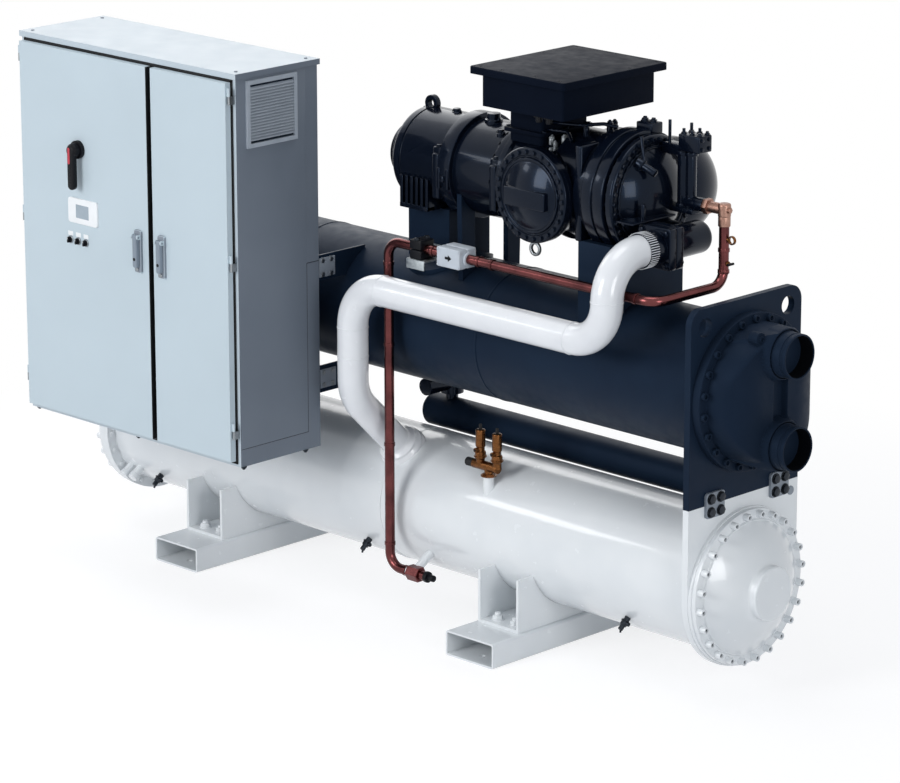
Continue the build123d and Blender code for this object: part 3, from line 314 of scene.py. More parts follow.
def along(path: np.ndarray) -> tuple[np.ndarray, np.ndarray, np.ndarray]:
    """Directions for a section carried along a path.

    Args:
        path: Rows of points.

    Returns:
        The run direction at each point, and two directions across it that turn as little as they can.
    """
    run = np.gradient(path, axis=0)
    run = run / np.linalg.norm(run, axis=1, keepdims=True)
    across = np.empty_like(run)
    seed = Z_AXIS if abs(run[0, 2]) < 0.9 else Y_AXIS
    current = np.cross(seed, run[0])
    for number, direction in enumerate(run):
        current = current - direction * (current @ direction)
        current = current / np.linalg.norm(current)
        across[number] = current
    return run, across, np.cross(run, across)


def pipe(path: np.ndarray, radius: float, segments: int) -> Shape:
    """Round bar along a path: at each point, a circle of the radius across the run."""
    _, side, up = along(path)
    angle = np.linspace(0, 2 * math.pi, segments, endpoint=False)
    ring = np.cos(angle)[None, :, None] * side[:, None, :] + np.sin(angle)[None, :, None] * up[:, None, :]
    return grid(path[:, None, :] + radius * ring)


def rod(start: tuple[float, float, float], end: tuple[float, float, float], radius: float,
        edge: float = 1.0, segments: int = 32) -> Shape:
    """Round bar between two points with a small rounded edge at each end."""
    start, end = np.asarray(start, float), np.asarray(end, float)
    length = float(np.linalg.norm(end - start))
    edge = min(edge, length * 0.4, radius * 0.5)
    profile = softened([(0, 0, 0), (0, radius, edge), (length, radius, edge), (length, 0, 0)], 3)
    return turned(profile, segments).at(start, end - start)


def circle_places(centre: tuple[float, float, float], axis: np.ndarray, radius: float, count: int,
                  start: float = 0.0) -> np.ndarray:
    """Points spaced evenly on a circle about an axis, from a start angle in degrees."""
    axis = np.asarray(axis, float)
    up = Z_AXIS if abs(axis[2]) < 0.9 else Y_AXIS
    side = np.cross(up, axis)
    side = side / np.linalg.norm(side)
    other = np.cross(axis, side)
    angle = np.radians(start + np.arange(count) * 360.0 / count)[:, None]
    return np.asarray(centre, float) + radius * (np.cos(angle) * side + np.sin(angle) * other)


class Fastener(Enum):
    """Kinds of fastener on the unit."""

    HEX = "hex head on a washer"
    NUT = "hex nut with a stud end"
    SOCKET = "round head with a hex socket"
    PAN = "flat round screw head"


def fastener(kind: Fastener, size: float, height: float | None = None) -> Shape:
    """One fastener that stands on zero along its own Z.

    Args:
        kind: Which fastener.
        size: Thread size in millimetres, from which the head follows: a hex is 1.5 times as wide
            across its flats and 0.65 times as high.
        height: Head height where it isn't the usual one.

    Returns:
        The shape.
    """
    across = size * 1.5
    corner = across / math.sqrt(3)
    if kind is Fastener.PAN:
        tall = height or size * 0.45
        return turned(softened([(0, 0, 0), (0, size, 0), (tall, size, tall * 0.7), (tall, 0, 0)], 4), 20)
    if kind is Fastener.SOCKET:
        tall = height or size
        width, key, deep = size * 0.8, size * 0.42, min(size * 0.55, tall * 0.6)
        profile = softened([(0, 0, 0), (0, width, 0), (tall, width, size * 0.12), (tall, key * 1.1, size * 0.05),
                            (tall - deep, key, 0), (tall - deep, 0, 0)], 2)
        return turned(profile, 24)
    tall = height or size * 0.65
    washer = turned([(0, 0), (0, size * 1.05), (size * 0.14, size * 1.05), (size * 0.14, 0)], 20)
    head = turned([(size * 0.12, 0), (size * 0.12, corner), (tall * 0.9, corner), (tall, corner * 0.86), (tall, 0)], 6)
    if kind is Fastener.HEX:
        return washer + head
    stud = turned([(tall * 0.9, 0), (tall * 0.9, size * 0.5), (tall * 1.5, size * 0.5), (tall * 1.6, size * 0.42),
                   (tall * 1.6, 0)], 12)
    return washer + head + stud


def rgb(text: str) -> tuple[float, float, float, float]:
    """A colour written as sRGB hex, turned linear.

    Args:
        text: Six hex digits.

    Returns:
        Linear red, green, blue and full alpha.
    """
    values = [int(text[place:place + 2], 16) / 255 for place in (0, 2, 4)]
    return (*(v / 12.92 if v <= 0.04045 else ((v + 0.055) / 1.055) ** 2.4 for v in values), 1.0)


def add_node(tree: bpy.types.NodeTree, kind: str, settings: dict | None = None,
             links: dict | None = None) -> bpy.types.Node:
    """Add one node with its settings and links.

    Args:
        tree: Node tree that gets the node.
        kind: Type name of the node.
        settings: Values by attribute name, or by input name or number.
        links: Output sockets by the input name or number that they feed.

    Returns:
        The new node.
    """
    node = tree.nodes.new(kind)
    for key, value in (settings or {}).items():
        if isinstance(key, str) and hasattr(node, key) and key not in node.inputs:
            setattr(node, key, value)
        else:
            node.inputs[key].default_value = value
    for key, socket in (links or {}).items():
        tree.links.new(socket, node.inputs[key])
    return node


def new_material(name: str) -> tuple[bpy.types.Material, bpy.types.NodeTree]:
    """An empty node material and its tree."""
    material = bpy.data.materials.new(name)
    material.use_nodes = True
    material.node_tree.nodes.clear()
    return material, material.node_tree


def finish_surface(tree: bpy.types.NodeTree, values: dict, colour: bpy.types.NodeSocket,
                   roughness: bpy.types.NodeSocket, normal: bpy.types.NodeSocket) -> None:
    """Add the surface shader and the output.

    Args:
        tree: Tree of the material.
        values: Uniform values for the shader's own sockets.
        colour: Varied base colour.
        roughness: Varied roughness.
        normal: Bumped normal.
    """
    shader = add_node(tree, "ShaderNodeBsdfPrincipled", values,
                      {"Base Color": colour, "Roughness": roughness, "Normal": normal})
    add_node(tree, "ShaderNodeOutputMaterial", None, {"Surface": shader.outputs["BSDF"]})


def noise(tree: bpy.types.NodeTree, size_mm: float, detail: float = 3.0,
          stretch: tuple[float, float, float] = (1, 1, 1)) -> bpy.types.NodeSocket:
    """Noise on Object coordinates whose blobs are a given size in millimetres.

    Args:
        tree: Tree of the material.
        size_mm: Size of one blob.
        detail: Finer octaves.
        stretch: How much longer the blobs are along X, Y and Z.

    Returns:
        The noise value.
    """
    place = add_node(tree, "ShaderNodeTexCoord").outputs["Object"]
    scale = tuple(1 / (size_mm * MM * part) for part in stretch)
    mapping = add_node(tree, "ShaderNodeMapping", {"Scale": scale}, {"Vector": place})
    return add_node(tree, "ShaderNodeTexNoise", {"Scale": 1.0, "Detail": detail, "Roughness": 0.55},
                    {"Vector": mapping.outputs["Vector"]}).outputs["Fac"]


def mapped(tree: bpy.types.NodeTree, value: bpy.types.NodeSocket, low: float, high: float,
           start: float = 0.3, end: float = 0.7) -> bpy.types.NodeSocket:
    """A value spread from one range to another."""
    settings = {"From Min": start, "From Max": end, "To Min": low, "To Max": high}
    return add_node(tree, "ShaderNodeMapRange", settings, {"Value": value}).outputs["Result"]


def two_tone(tree: bpy.types.NodeTree, value: bpy.types.NodeSocket, first: str,
             second: str) -> bpy.types.NodeSocket:
    """A colour between two hex colours, by a value from zero to one."""
    mix = add_node(tree, "ShaderNodeMix", {"data_type": "RGBA"}, {0: value})
    mix.inputs[6].default_value = rgb(first)
    mix.inputs[7].default_value = rgb(second)
    return mix.outputs[2]


def bumped(tree: bpy.types.NodeTree, height: bpy.types.NodeSocket, depth_mm: float, strength: float,
           edge_mm: float) -> bpy.types.NodeSocket:
    """A normal with fine relief over edges that catch light as if broken by hand.

    Args:
        tree: Tree of the material.
        height: Relief from zero to one.
        depth_mm: Depth of the relief.
        strength: How strongly the relief shows.
        edge_mm: Radius of the broken edges.

    Returns:
        The normal.
    """
    edge = add_node(tree, "ShaderNodeBevel", {"samples": 4, "Radius": edge_mm * MM}).outputs["Normal"]
    settings = {"Strength": strength, "Distance": depth_mm * MM}
    return add_node(tree, "ShaderNodeBump", settings, {"Height": height, "Normal": edge}).outputs["Normal"]


@dataclass(frozen=True)
class Paint:
    """Sprayed two-pack paint on steel or castings.

    It gives the eye a clear coat over an even colour, with the slight orange peel of spraying and
    faint clouds where the film is thicker. The peel is drawn a little coarser than real, to show.
    """

    name: str
    slot: str
    colour: str
    shade: str
    roughness: float = 0.3
    coat: float = 0.0
    coat_roughness: float = 0.05
    specular: float = 0.5
    peel_mm: float = 6.0
    peel_depth_mm: float = 0.03
    cloud_mm: float = 260.0
    edge_mm: float = 2.0
    tint: str = "FFFFFF"

    def material(self) -> bpy.types.Material:
        """Clouded colour, a roughness that wanders with the film, and orange peel."""
        material, tree = new_material(self.name)
        cloud = noise(tree, self.cloud_mm, 2.0)
        colour = two_tone(tree, mapped(tree, cloud, 0, 1), self.colour, self.shade)
        film = mapped(tree, noise(tree, self.cloud_mm / 6), self.roughness * 0.85, self.roughness * 1.15)
        peel = noise(tree, self.peel_mm, 1.0)
        normal = bumped(tree, peel, self.peel_depth_mm, 0.5, self.edge_mm)
        values = {"IOR": 1.5, "Coat Weight": self.coat, "Coat Roughness": self.coat_roughness,
                  "Specular IOR Level": self.specular, "Specular Tint": rgb(self.tint)}
        finish_surface(tree, values, colour, film, normal)
        return material


@dataclass(frozen=True)
class Metal:
    """Bare or plated metal: drawn copper tube, cast bronze, zinc plating, turned steel.

    It gives the eye a coloured mirror that is broken by drawing lines, casting grain or spangle.
    """

    name: str
    slot: str
    colour: str
    shade: str
    roughness: float = 0.3
    grain_mm: float = 3.0
    stretch: tuple[float, float, float] = (1.0, 1.0, 1.0)
    grain_depth_mm: float = 0.02
    stain_mm: float = 60.0
    edge_mm: float = 0.8

    def material(self) -> bpy.types.Material:
        """Stains in the colour, and grain in the roughness and the relief."""
        material, tree = new_material(self.name)
        stain = mapped(tree, noise(tree, self.stain_mm, 4.0), 0, 1)
        colour = two_tone(tree, stain, self.colour, self.shade)
        grain = noise(tree, self.grain_mm, 3.0, self.stretch)
        rough = mapped(tree, grain, self.roughness * 0.75, self.roughness * 1.3)
        normal = bumped(tree, grain, self.grain_depth_mm, 0.6, self.edge_mm)
        finish_surface(tree, {"Metallic": 1.0}, colour, rough, normal)
        return material


@dataclass(frozen=True)
class Plastic:
    """Moulded plastic or rubber, with a fine spark-eroded texture from its mould.

    It gives the eye a soft broad highlight and a colour that hardly varies.
    """

    name: str
    slot: str
    colour: str
    shade: str
    roughness: float = 0.4
    specular: float = 0.5
    grain_mm: float = 1.6
    grain_depth_mm: float = 0.03
    edge_mm: float = 0.8

    def material(self) -> bpy.types.Material:
        """A colour that drifts by the flow of the melt, with fine grain."""
        material, tree = new_material(self.name)
        flow = mapped(tree, noise(tree, 45.0, 2.0), 0, 1)
        colour = two_tone(tree, flow, self.colour, self.shade)
        rough = mapped(tree, noise(tree, 12.0), self.roughness * 0.85, self.roughness * 1.15)
        normal = bumped(tree, noise(tree, self.grain_mm, 1.0), self.grain_depth_mm, 0.35, self.edge_mm)
        finish_surface(tree, {"IOR": 1.49, "Specular IOR Level": self.specular}, colour, rough, normal)
        return material


@dataclass(frozen=True)
class Jacket:
    """White foil jacket over pipe insulation, smoothed on by hand.

    It gives the eye a glossy skin with long shallow waves where the foam below is uneven.
    """

    name: str
    slot: str
    colour: str
    shade: str
    roughness: float = 0.22
    wave_mm: float = 70.0
    wave_depth_mm: float = 1.2
    edge_mm: float = 1.0

    def material(self) -> bpy.types.Material:
        """Long waves in the relief and a faint drift in the colour."""
        material, tree = new_material(self.name)
        drift = mapped(tree, noise(tree, 150.0, 2.0), 0, 1)
        colour = two_tone(tree, drift, self.colour, self.shade)
        rough = mapped(tree, noise(tree, 30.0), self.roughness * 0.8, self.roughness * 1.25)
        normal = bumped(tree, noise(tree, self.wave_mm, 2.0), self.wave_depth_mm, 0.35, self.edge_mm)
        finish_surface(tree, {"IOR": 1.5, "Coat Weight": 0.4, "Coat Roughness": 0.08}, colour, rough, normal)
        return material


# Specular tint of the dark paints: their highlights are cool rather than white.
BLUE_SHEEN = "7C9CC8"


class Finish(Enum):
    """Finishes of the unit, each with its own material."""

    WHITE_PAINT = Paint("white gloss paint, sprayed", "white_paint", "EEF1F3", "E6EAED", 0.24, 0.5, 0.06)
    NAVY_PAINT = Paint("dark navy satin paint, sprayed", "navy_paint", "1A2738", "162131", 0.42, 0.0, 0.25, 0.12,
                       tint=BLUE_SHEEN)
    NAVY_CASTING = Paint("dark navy paint on cast iron", "navy_paint", "192434", "151F2D", 0.5, 0.0, 0.3, 0.1,
                         5.0, 0.12, tint=BLUE_SHEEN)
    BLACK_PAINT = Paint("black gloss paint on cast iron", "black_gloss_paint", "060B16", "080E1A", 0.2, 0.14, 0.035,
                        0.26, 9.0, 0.05, tint=BLUE_SHEEN)
    BLACK_SHEET = Paint("black powder coat on sheet steel", "black_gloss_paint", "0B101B", "0D131F", 0.45, 0.0, 0.2,
                        0.03, 3.0, 0.03, tint=BLUE_SHEEN)
    DOOR_PAINT = Paint("pale blue-grey powder coat", "door_paint", "C2D0D8", "BECCD4", 0.45, 0.0, 0.2, 0.45, 2.5,
                       0.03, 500.0, 2.5)
    # Painted shade: the cabinet's body and side panels get a darker grey copy of its paint, for the shade on its
    # sides.
    SHADED_SIDE_PAINT = Paint("grey powder coat", "cabinet_paint", "737C88", "6C7581", 0.45, 0.0, 0.2, 0.45, 2.5,
                       0.03, 500.0, 1.5)
    # Painted light: the paler, lit copy of the cabinet's paint, for its top and front faces.
    LIT_ROOF_PAINT = Paint("pale powder coat on the roof", "cabinet_paint", "BFCAD2", "BBC6CE", 0.4, 0.0, 0.2, 0.45, 2.5,
                       0.03, 500.0, 1.5)
    PLATE_PAINT = Paint("grey paint on plate", "grey_plate", "8B939D", "828A95", 0.4, 0.0, 0.2, 0.45)
    ZINC = Metal("hot-dip zinc on steel", "galvanised_steel", "B9C0C4", "A2ABB0", 0.38, 9.0, (1, 1, 1), 0.02, 14.0)
    STEEL = Metal("zinc-plated steel, turned", "hinge_steel", "9BA1A6", "858B90", 0.32, 1.2, (1, 1, 6))
    DARK_STEEL = Metal("blackened steel, turned", "hinge_steel", "3A3E44", "2C3036", 0.36, 1.2)
    COPPER = Metal("drawn copper tube", "copper", "744242", "502E2F", 0.22, 1.5, (1, 1, 1), 0.015, 90.0)
    BRONZE = Metal("cast bronze, machined", "bronze", "7C5230", "5A3A22", 0.26, 1.4, (1, 1, 1), 0.03, 20.0)
    PALE_BRONZE = Metal("tinned bronze fitting", "bronze", "A88678", "8E6C60", 0.36, 1.4, (1, 1, 1), 0.02, 20.0)
    BLACK_PLASTIC = Plastic("black ABS, moulded", "black_plastic", "0A0C11", "0E1016", 0.4, 0.16)
    RED_PLASTIC = Plastic("red ABS insert, moulded", "black_plastic", "C33A4A", "B53040", 0.4)
    HANDLE_PAINT = Paint("grey paint on a die-cast handle", "black_plastic", "88939F", "808B97", 0.35, 0.0, 0.2, 0.45)
    # Painted shade: a near-black finish for the inside of a bore, where shade falls.
    BORE_SHADE = Paint("painted shade in a bore", "navy_paint", "05080D", "07090E", 0.8, 0.0, 0.3, 0.05)
    WHITE_PLASTIC = Plastic("white ABS, moulded", "white_plastic", "F2F4F6", "EDEFF1", 0.36)
    SCREEN = Plastic("unlit screen glass", "white_plastic", "9AA7B2", "A3B0BB", 0.12, 0.5, 8.0, 0.002)
    GREY_PLASTIC = Plastic("pale grey polycarbonate, moulded", "grey_plastic", "C3CAD3", "BAC2CB", 0.4)
    GRILLE_PLASTIC = Plastic("grey-blue ABS, moulded", "grille_plastic", "AEB6C0", "A6AEB8", 0.45)
    # Painted shade: a near-black sheet seen between the grille's blades.
    GRILLE_SHADE = Plastic("dark sheet behind a grille, painted shade", "grille_plastic", "1C2430", "232C39", 0.9, 0.2, 2.5, 0.6)
    RUBBER = Plastic("black rubber", "black_plastic", "0E0F11", "131417", 0.6, 0.3)
    JACKET = Jacket("white foil jacket on insulation", "white_jacket", "EBEDF0", "E3E5E9")

    @property
    def slot(self) -> str:
        """The record's material slot that this finish belongs to."""
        return self.value.slot


MATERIALS: dict[Finish, bpy.types.Material] = {}


def material_of(finish: Finish) -> bpy.types.Material:
    """The finish's material, made when it is first asked for."""
    if finish not in MATERIALS:
        MATERIALS[finish] = finish.value.material()
    return MATERIALS[finish]


BODY = "unit"
SMOOTH_ANGLE = math.radians(32)


def make_piece(name: str, shape: Shape, finish: Finish, body: str = BODY,
               stands_for: tuple[str, ...] = ()) -> bpy.types.Object:
    """Put a shape into the scene as one piece.

    Args:
        name: Name of the piece.
        shape: Its shape in the vessel frame, in millimetres.
        finish: Its finish.
        body: The CAD body that it moves with.
        stands_for: CAD nodes that it replaces.

    Returns:
        The piece: its mesh in metres in the row frame, with doubled points merged.
    """
    mesh = bpy.data.meshes.new(name)
    faces = [corner_row for face in shape.faces for corner_row in face.tolist()]
    mesh.from_pydata(((shape.points + SHIFT) * MM).tolist(), [], faces)
    cleaner = bmesh.new()
    cleaner.from_mesh(mesh)
    bmesh.ops.remove_doubles(cleaner, verts=cleaner.verts, dist=0.004 * MM)
    cleaner.to_mesh(mesh)
    cleaner.free()
    mesh.polygons.foreach_set("use_smooth", np.ones(len(mesh.polygons), bool))
    mesh.set_sharp_from_angle(angle=SMOOTH_ANGLE)
    mesh.update()
    piece = bpy.data.objects.new(name, mesh)
    bpy.context.scene.collection.objects.link(piece)
    mesh.materials.append(material_of(finish))
    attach(piece, body)
    finish.slot
    if stands_for:
        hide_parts(*stands_for)
    LOG.info("%s: %d faces", name, len(mesh.polygons))
    return piece


def arc_through(first: tuple[float, float], middle: tuple[float, float], last: tuple[float, float],
                steps: int = 14) -> np.ndarray:
    """Points on the circle through three points, from the first to the last.

    Args:
        first: Start of the arc.
        middle: A point on it.
        last: End of the arc.
        steps: Parts that the arc is cut into.

    Returns:
        The points. The centre solves two equations: it is as far from the first point as from each
        of the others.
    """
    a, b, c = (np.asarray(point, float) for point in (first, middle, last))
    centre = np.linalg.solve(2 * np.stack((b - a, c - a)), np.array([b @ b - a @ a, c @ c - a @ a]))
    angles = np.unwrap([math.atan2(*(point - centre)[::-1]) for point in (a, b, c)])
    radius = float(np.linalg.norm(a - centre))
    angle = np.linspace(angles[0], angles[2], steps + 1)
    return centre + radius * np.stack((np.cos(angle), np.sin(angle)), -1)


def cap_profile(start: float, radius: float, rise: float, steps: int = 14) -> np.ndarray:
    """Height and radius along a spherical cap, from its rim to the axis."""
    ball = (radius**2 + rise**2) / (2 * abs(rise))
    half = math.asin(min(1.0, radius / ball))
    angle = np.linspace(half, 0, steps + 1)
    lift = np.sign(rise) * (ball * np.cos(angle) - (ball - abs(rise)))
    return np.stack((start + lift, ball * np.sin(angle)), -1)


def disc(radius: float, height: float, soft: float, steps: int, segments: int) -> Shape:
    """Round plate that stands on zero, with a soft edge on its far side."""
    profile = softened([(0, 0, 0), (0, radius, 0), (height, radius, soft), (height, 0, 0)], steps)
    return turned(profile, segments)


def loop(half: float, inner: tuple[float, float], outer: tuple[float, float], steps: int, segments: int) -> Shape:
    """Ring about the own Z axis, half as wide as given each way. Each radius comes with its corners' reach."""
    section = [(-half, *inner), (half, *inner), (half, *outer), (-half, *outer), (-half, *inner)]
    return turned(softened(section, steps)[:-1], segments, ring=True)


PIPE_R = 84.15
GROOVE_R = 81.95
BORE_R = 77.65
BORE_DEPTH = 110.0


def grooved_end(length: float, soft: float, rim: float) -> list[tuple[float, float, float]]:
    """Profile rows of a DN150 pipe end: outside, coupling groove, rim, and the bore down to its bottom."""
    groove, shoulder, bottom = length - 26, length - 16, length - BORE_DEPTH
    return [(groove, PIPE_R, soft), (groove, GROOVE_R, 0), (shoulder, GROOVE_R, 0), (shoulder, PIPE_R, soft),
            (length, PIPE_R, rim), (length, BORE_R, rim), (bottom, BORE_R, 0), (bottom, 0, 0)]


def hoop(centre: tuple[float, float, float], axis: np.ndarray, radius: float, width: float, rise: float,
         segments: int = 96, soft: float = 1.0) -> Shape:
    """Flat band round a cylinder: a rectangular section with soft corners, turned about the axis."""
    low, high = -width / 2, width / 2
    section = softened([(0, radius - 2, 0), (low, radius - 2, 0), (low, radius + rise, soft),
                        (high, radius + rise, soft), (high, radius - 2, 0), (0, radius - 2, 0)], 3)
    return turned(section[:-1], segments, ring=True).at(np.asarray(centre, float), axis)


@dataclass
class Evaporator:
    """White lower vessel: bolted head, water box, fittings and bolts of its plates."""

    axis_z: float = 411.0
    left_face: float = -3235.0
    shell_r: float = 263.0
    flange_r: float = 302.0
    flange: float = 32.0
    bolt_circle_r: float = 279.0
    bolts: int = 24
    dish_r: float = 258.0
    crown: float = 116.0
    boss_r: float = 103.0
    boss_face: float = 152.0
    water_pitch: float = 120.0
    water_reach: float = 200.0

    def head_profile(self) -> np.ndarray:
        """Height and radius of the bolted head: stepped flange, fillet, dish, fillet and flat boss."""
        rim = softened([(0, 0, 0), (0, self.flange_r, 0), (14, self.flange_r, 1.5), (14, self.flange_r - 5, 0),
                        (self.flange, self.flange_r - 5, 3), (self.flange, self.dish_r + 6, 0)], 3)
        foot = arc((self.flange + 8, self.dish_r + 6), 8, 180, 260, 5)
        dish = arc_through((self.flange + 7, self.dish_r - 5), (self.flange + 84 * 0.62, self.dish_r * 0.74),
                           (self.crown, self.boss_r + 16), 18)
        boss = softened([(self.crown, self.boss_r + 16, 0), (self.crown + 4, self.boss_r, 10),
                         (self.boss_face, self.boss_r, 9), (self.boss_face, 0, 0)], 6)
        return np.vstack((rim, foot, dish, boss[1:]))

    def sleeves(self, x: float, axis: np.ndarray) -> Shape:
        """Long round bolt heads, evenly on the bolt circle."""
        places = circle_places((x, 0, self.axis_z), axis, self.bolt_circle_r, self.bolts, 6)
        return fastener(Fastener.SOCKET, 17, 27).copies(places, axis)

    def socket_shades(self, x: float, axis: np.ndarray) -> Shape:
        """Dark discs at the bottom of each bolt's socket: painted shade in the recesses."""
        places = circle_places((x + 19 * axis[0], 0, self.axis_z), axis, self.bolt_circle_r, self.bolts, 6)
        return turned([(0, 0), (0, 6.9), (1.5, 6.9), (1.5, 0)], 6).copies(places, axis)

    def nozzle(self, level: int) -> Shape:
        """Grooved pipe end of the left water box: a thick-walled tube with its groove."""
        outer = softened([(0, 0, 0), (0, PIPE_R, 0), *grooved_end(self.water_reach - self.flange, 0, 1)], 2)
        place = (self.left_face - self.flange, 0, self.axis_z + level * self.water_pitch)
        return turned(outer, 64).at(place, -X_AXIS)

    def drain(self, x: float) -> Shape:
        """Small service valve: stem, hex body, end cap, side stub and handle."""
        angle = math.radians(40)
        out = np.array([0, -math.cos(angle), -math.sin(angle)])
        root = np.array([x, 0, self.axis_z]) + out * (self.shell_r - 4)
        tip = root + out * 60
        stem = rod(root, root + out * 22, 12, 2)
        body = fastener(Fastener.HEX, 17, 20).at(root + out * 20, out)
        cap = disc(10, 22, 3, 3, 24).at(root + out * 38, out)
        side = rod(root + out * 30, root + out * 30 + np.array([24.0, 0, 0]), 8, 1)
        handle = rod(tip - out * 6, tip - out * 6 + np.array([0, -3.0, -16.0]), 4, 1)
        return joined([stem, body, cap, side, handle])

    def build(self) -> None:
        """Make every piece of the evaporator."""
        head = turned(self.head_profile(), 128).at((0, 0, self.axis_z), X_AXIS)
        make_piece("evaporator_head_dressed", head + self.sleeves(self.flange, X_AXIS), Finish.WHITE_PAINT,
                   stands_for=("evaporator_head",))
        # Painted shade in each bolt's socket on the head.
        make_piece("evaporator_head_socket_shades", self.socket_shades(self.flange, X_AXIS), Finish.DARK_STEEL)
        left = turned(self.head_profile(), 128).at((self.left_face, 0, self.axis_z), -X_AXIS)
        left = left + self.sleeves(self.left_face - self.flange, -X_AXIS) + self.nozzle(1) + self.nozzle(-1)
        make_piece("evaporator_water_box_dressed", left, Finish.WHITE_PAINT, stands_for=("evaporator_water_box",))
        # Painted shade in each bolt's socket on the water box.
        make_piece("evaporator_water_box_socket_shades", self.socket_shades(self.left_face - self.flange, -X_AXIS),
                   Finish.DARK_STEEL)
        self.beads()
        self.plugs()
        make_piece("drain_valves_dressed", joined([self.drain(x) for x in (-2989, -1756, -382)]), Finish.DARK_STEEL,
                   stands_for=("drain_valves",))
        self.stubs()

    def beads(self) -> None:
        """Weld beads where the shell meets its plates and where its courses join."""
        shapes = []
        for x in (-28.0, self.left_face + 28, -1640.0):
            rise = 2 if x == -1640.0 else 4
            shapes.append(hoop((x + math.copysign(3, x + 1640), 0, self.axis_z), X_AXIS, self.shell_r, 9, rise))
        make_piece("evaporator_welds", joined(shapes), Finish.WHITE_PAINT)

    def plugs(self) -> None:
        """Round grey plug on the right end plate, and bolts on the lower half of the left plate."""
        plug = disc(17, 5, 2, 3, 32).at((0.0, 262, 719), X_AXIS)
        make_piece("end_plate_plug", plug, Finish.PLATE_PAINT)
        places = circle_places((self.left_face + 28, 0, self.axis_z), X_AXIS, 283, 24, 4)
        low = places[places[:, 2] < self.axis_z + 20]
        make_piece("left_plate_bolts", fastener(Fastener.HEX, 12).copies(low, X_AXIS), Finish.WHITE_PAINT)

    def stubs(self) -> None:
        """Two capped white stubs on the lower front, near the left end."""
        shapes = []
        for x in (-3168.0, -3112.0):
            angle = math.radians(38)
            out = np.array([0, -math.cos(angle), -math.sin(angle)])
            root = np.array([x, 0, self.axis_z]) + out * (self.shell_r - 6)
            shapes.append(rod(root, root + out * 58, 17, 2))
            shapes.append(rod(root + out * 44, root + out * 66, 21, 3))
        make_piece("evaporator_stubs", joined(shapes), Finish.WHITE_PAINT)


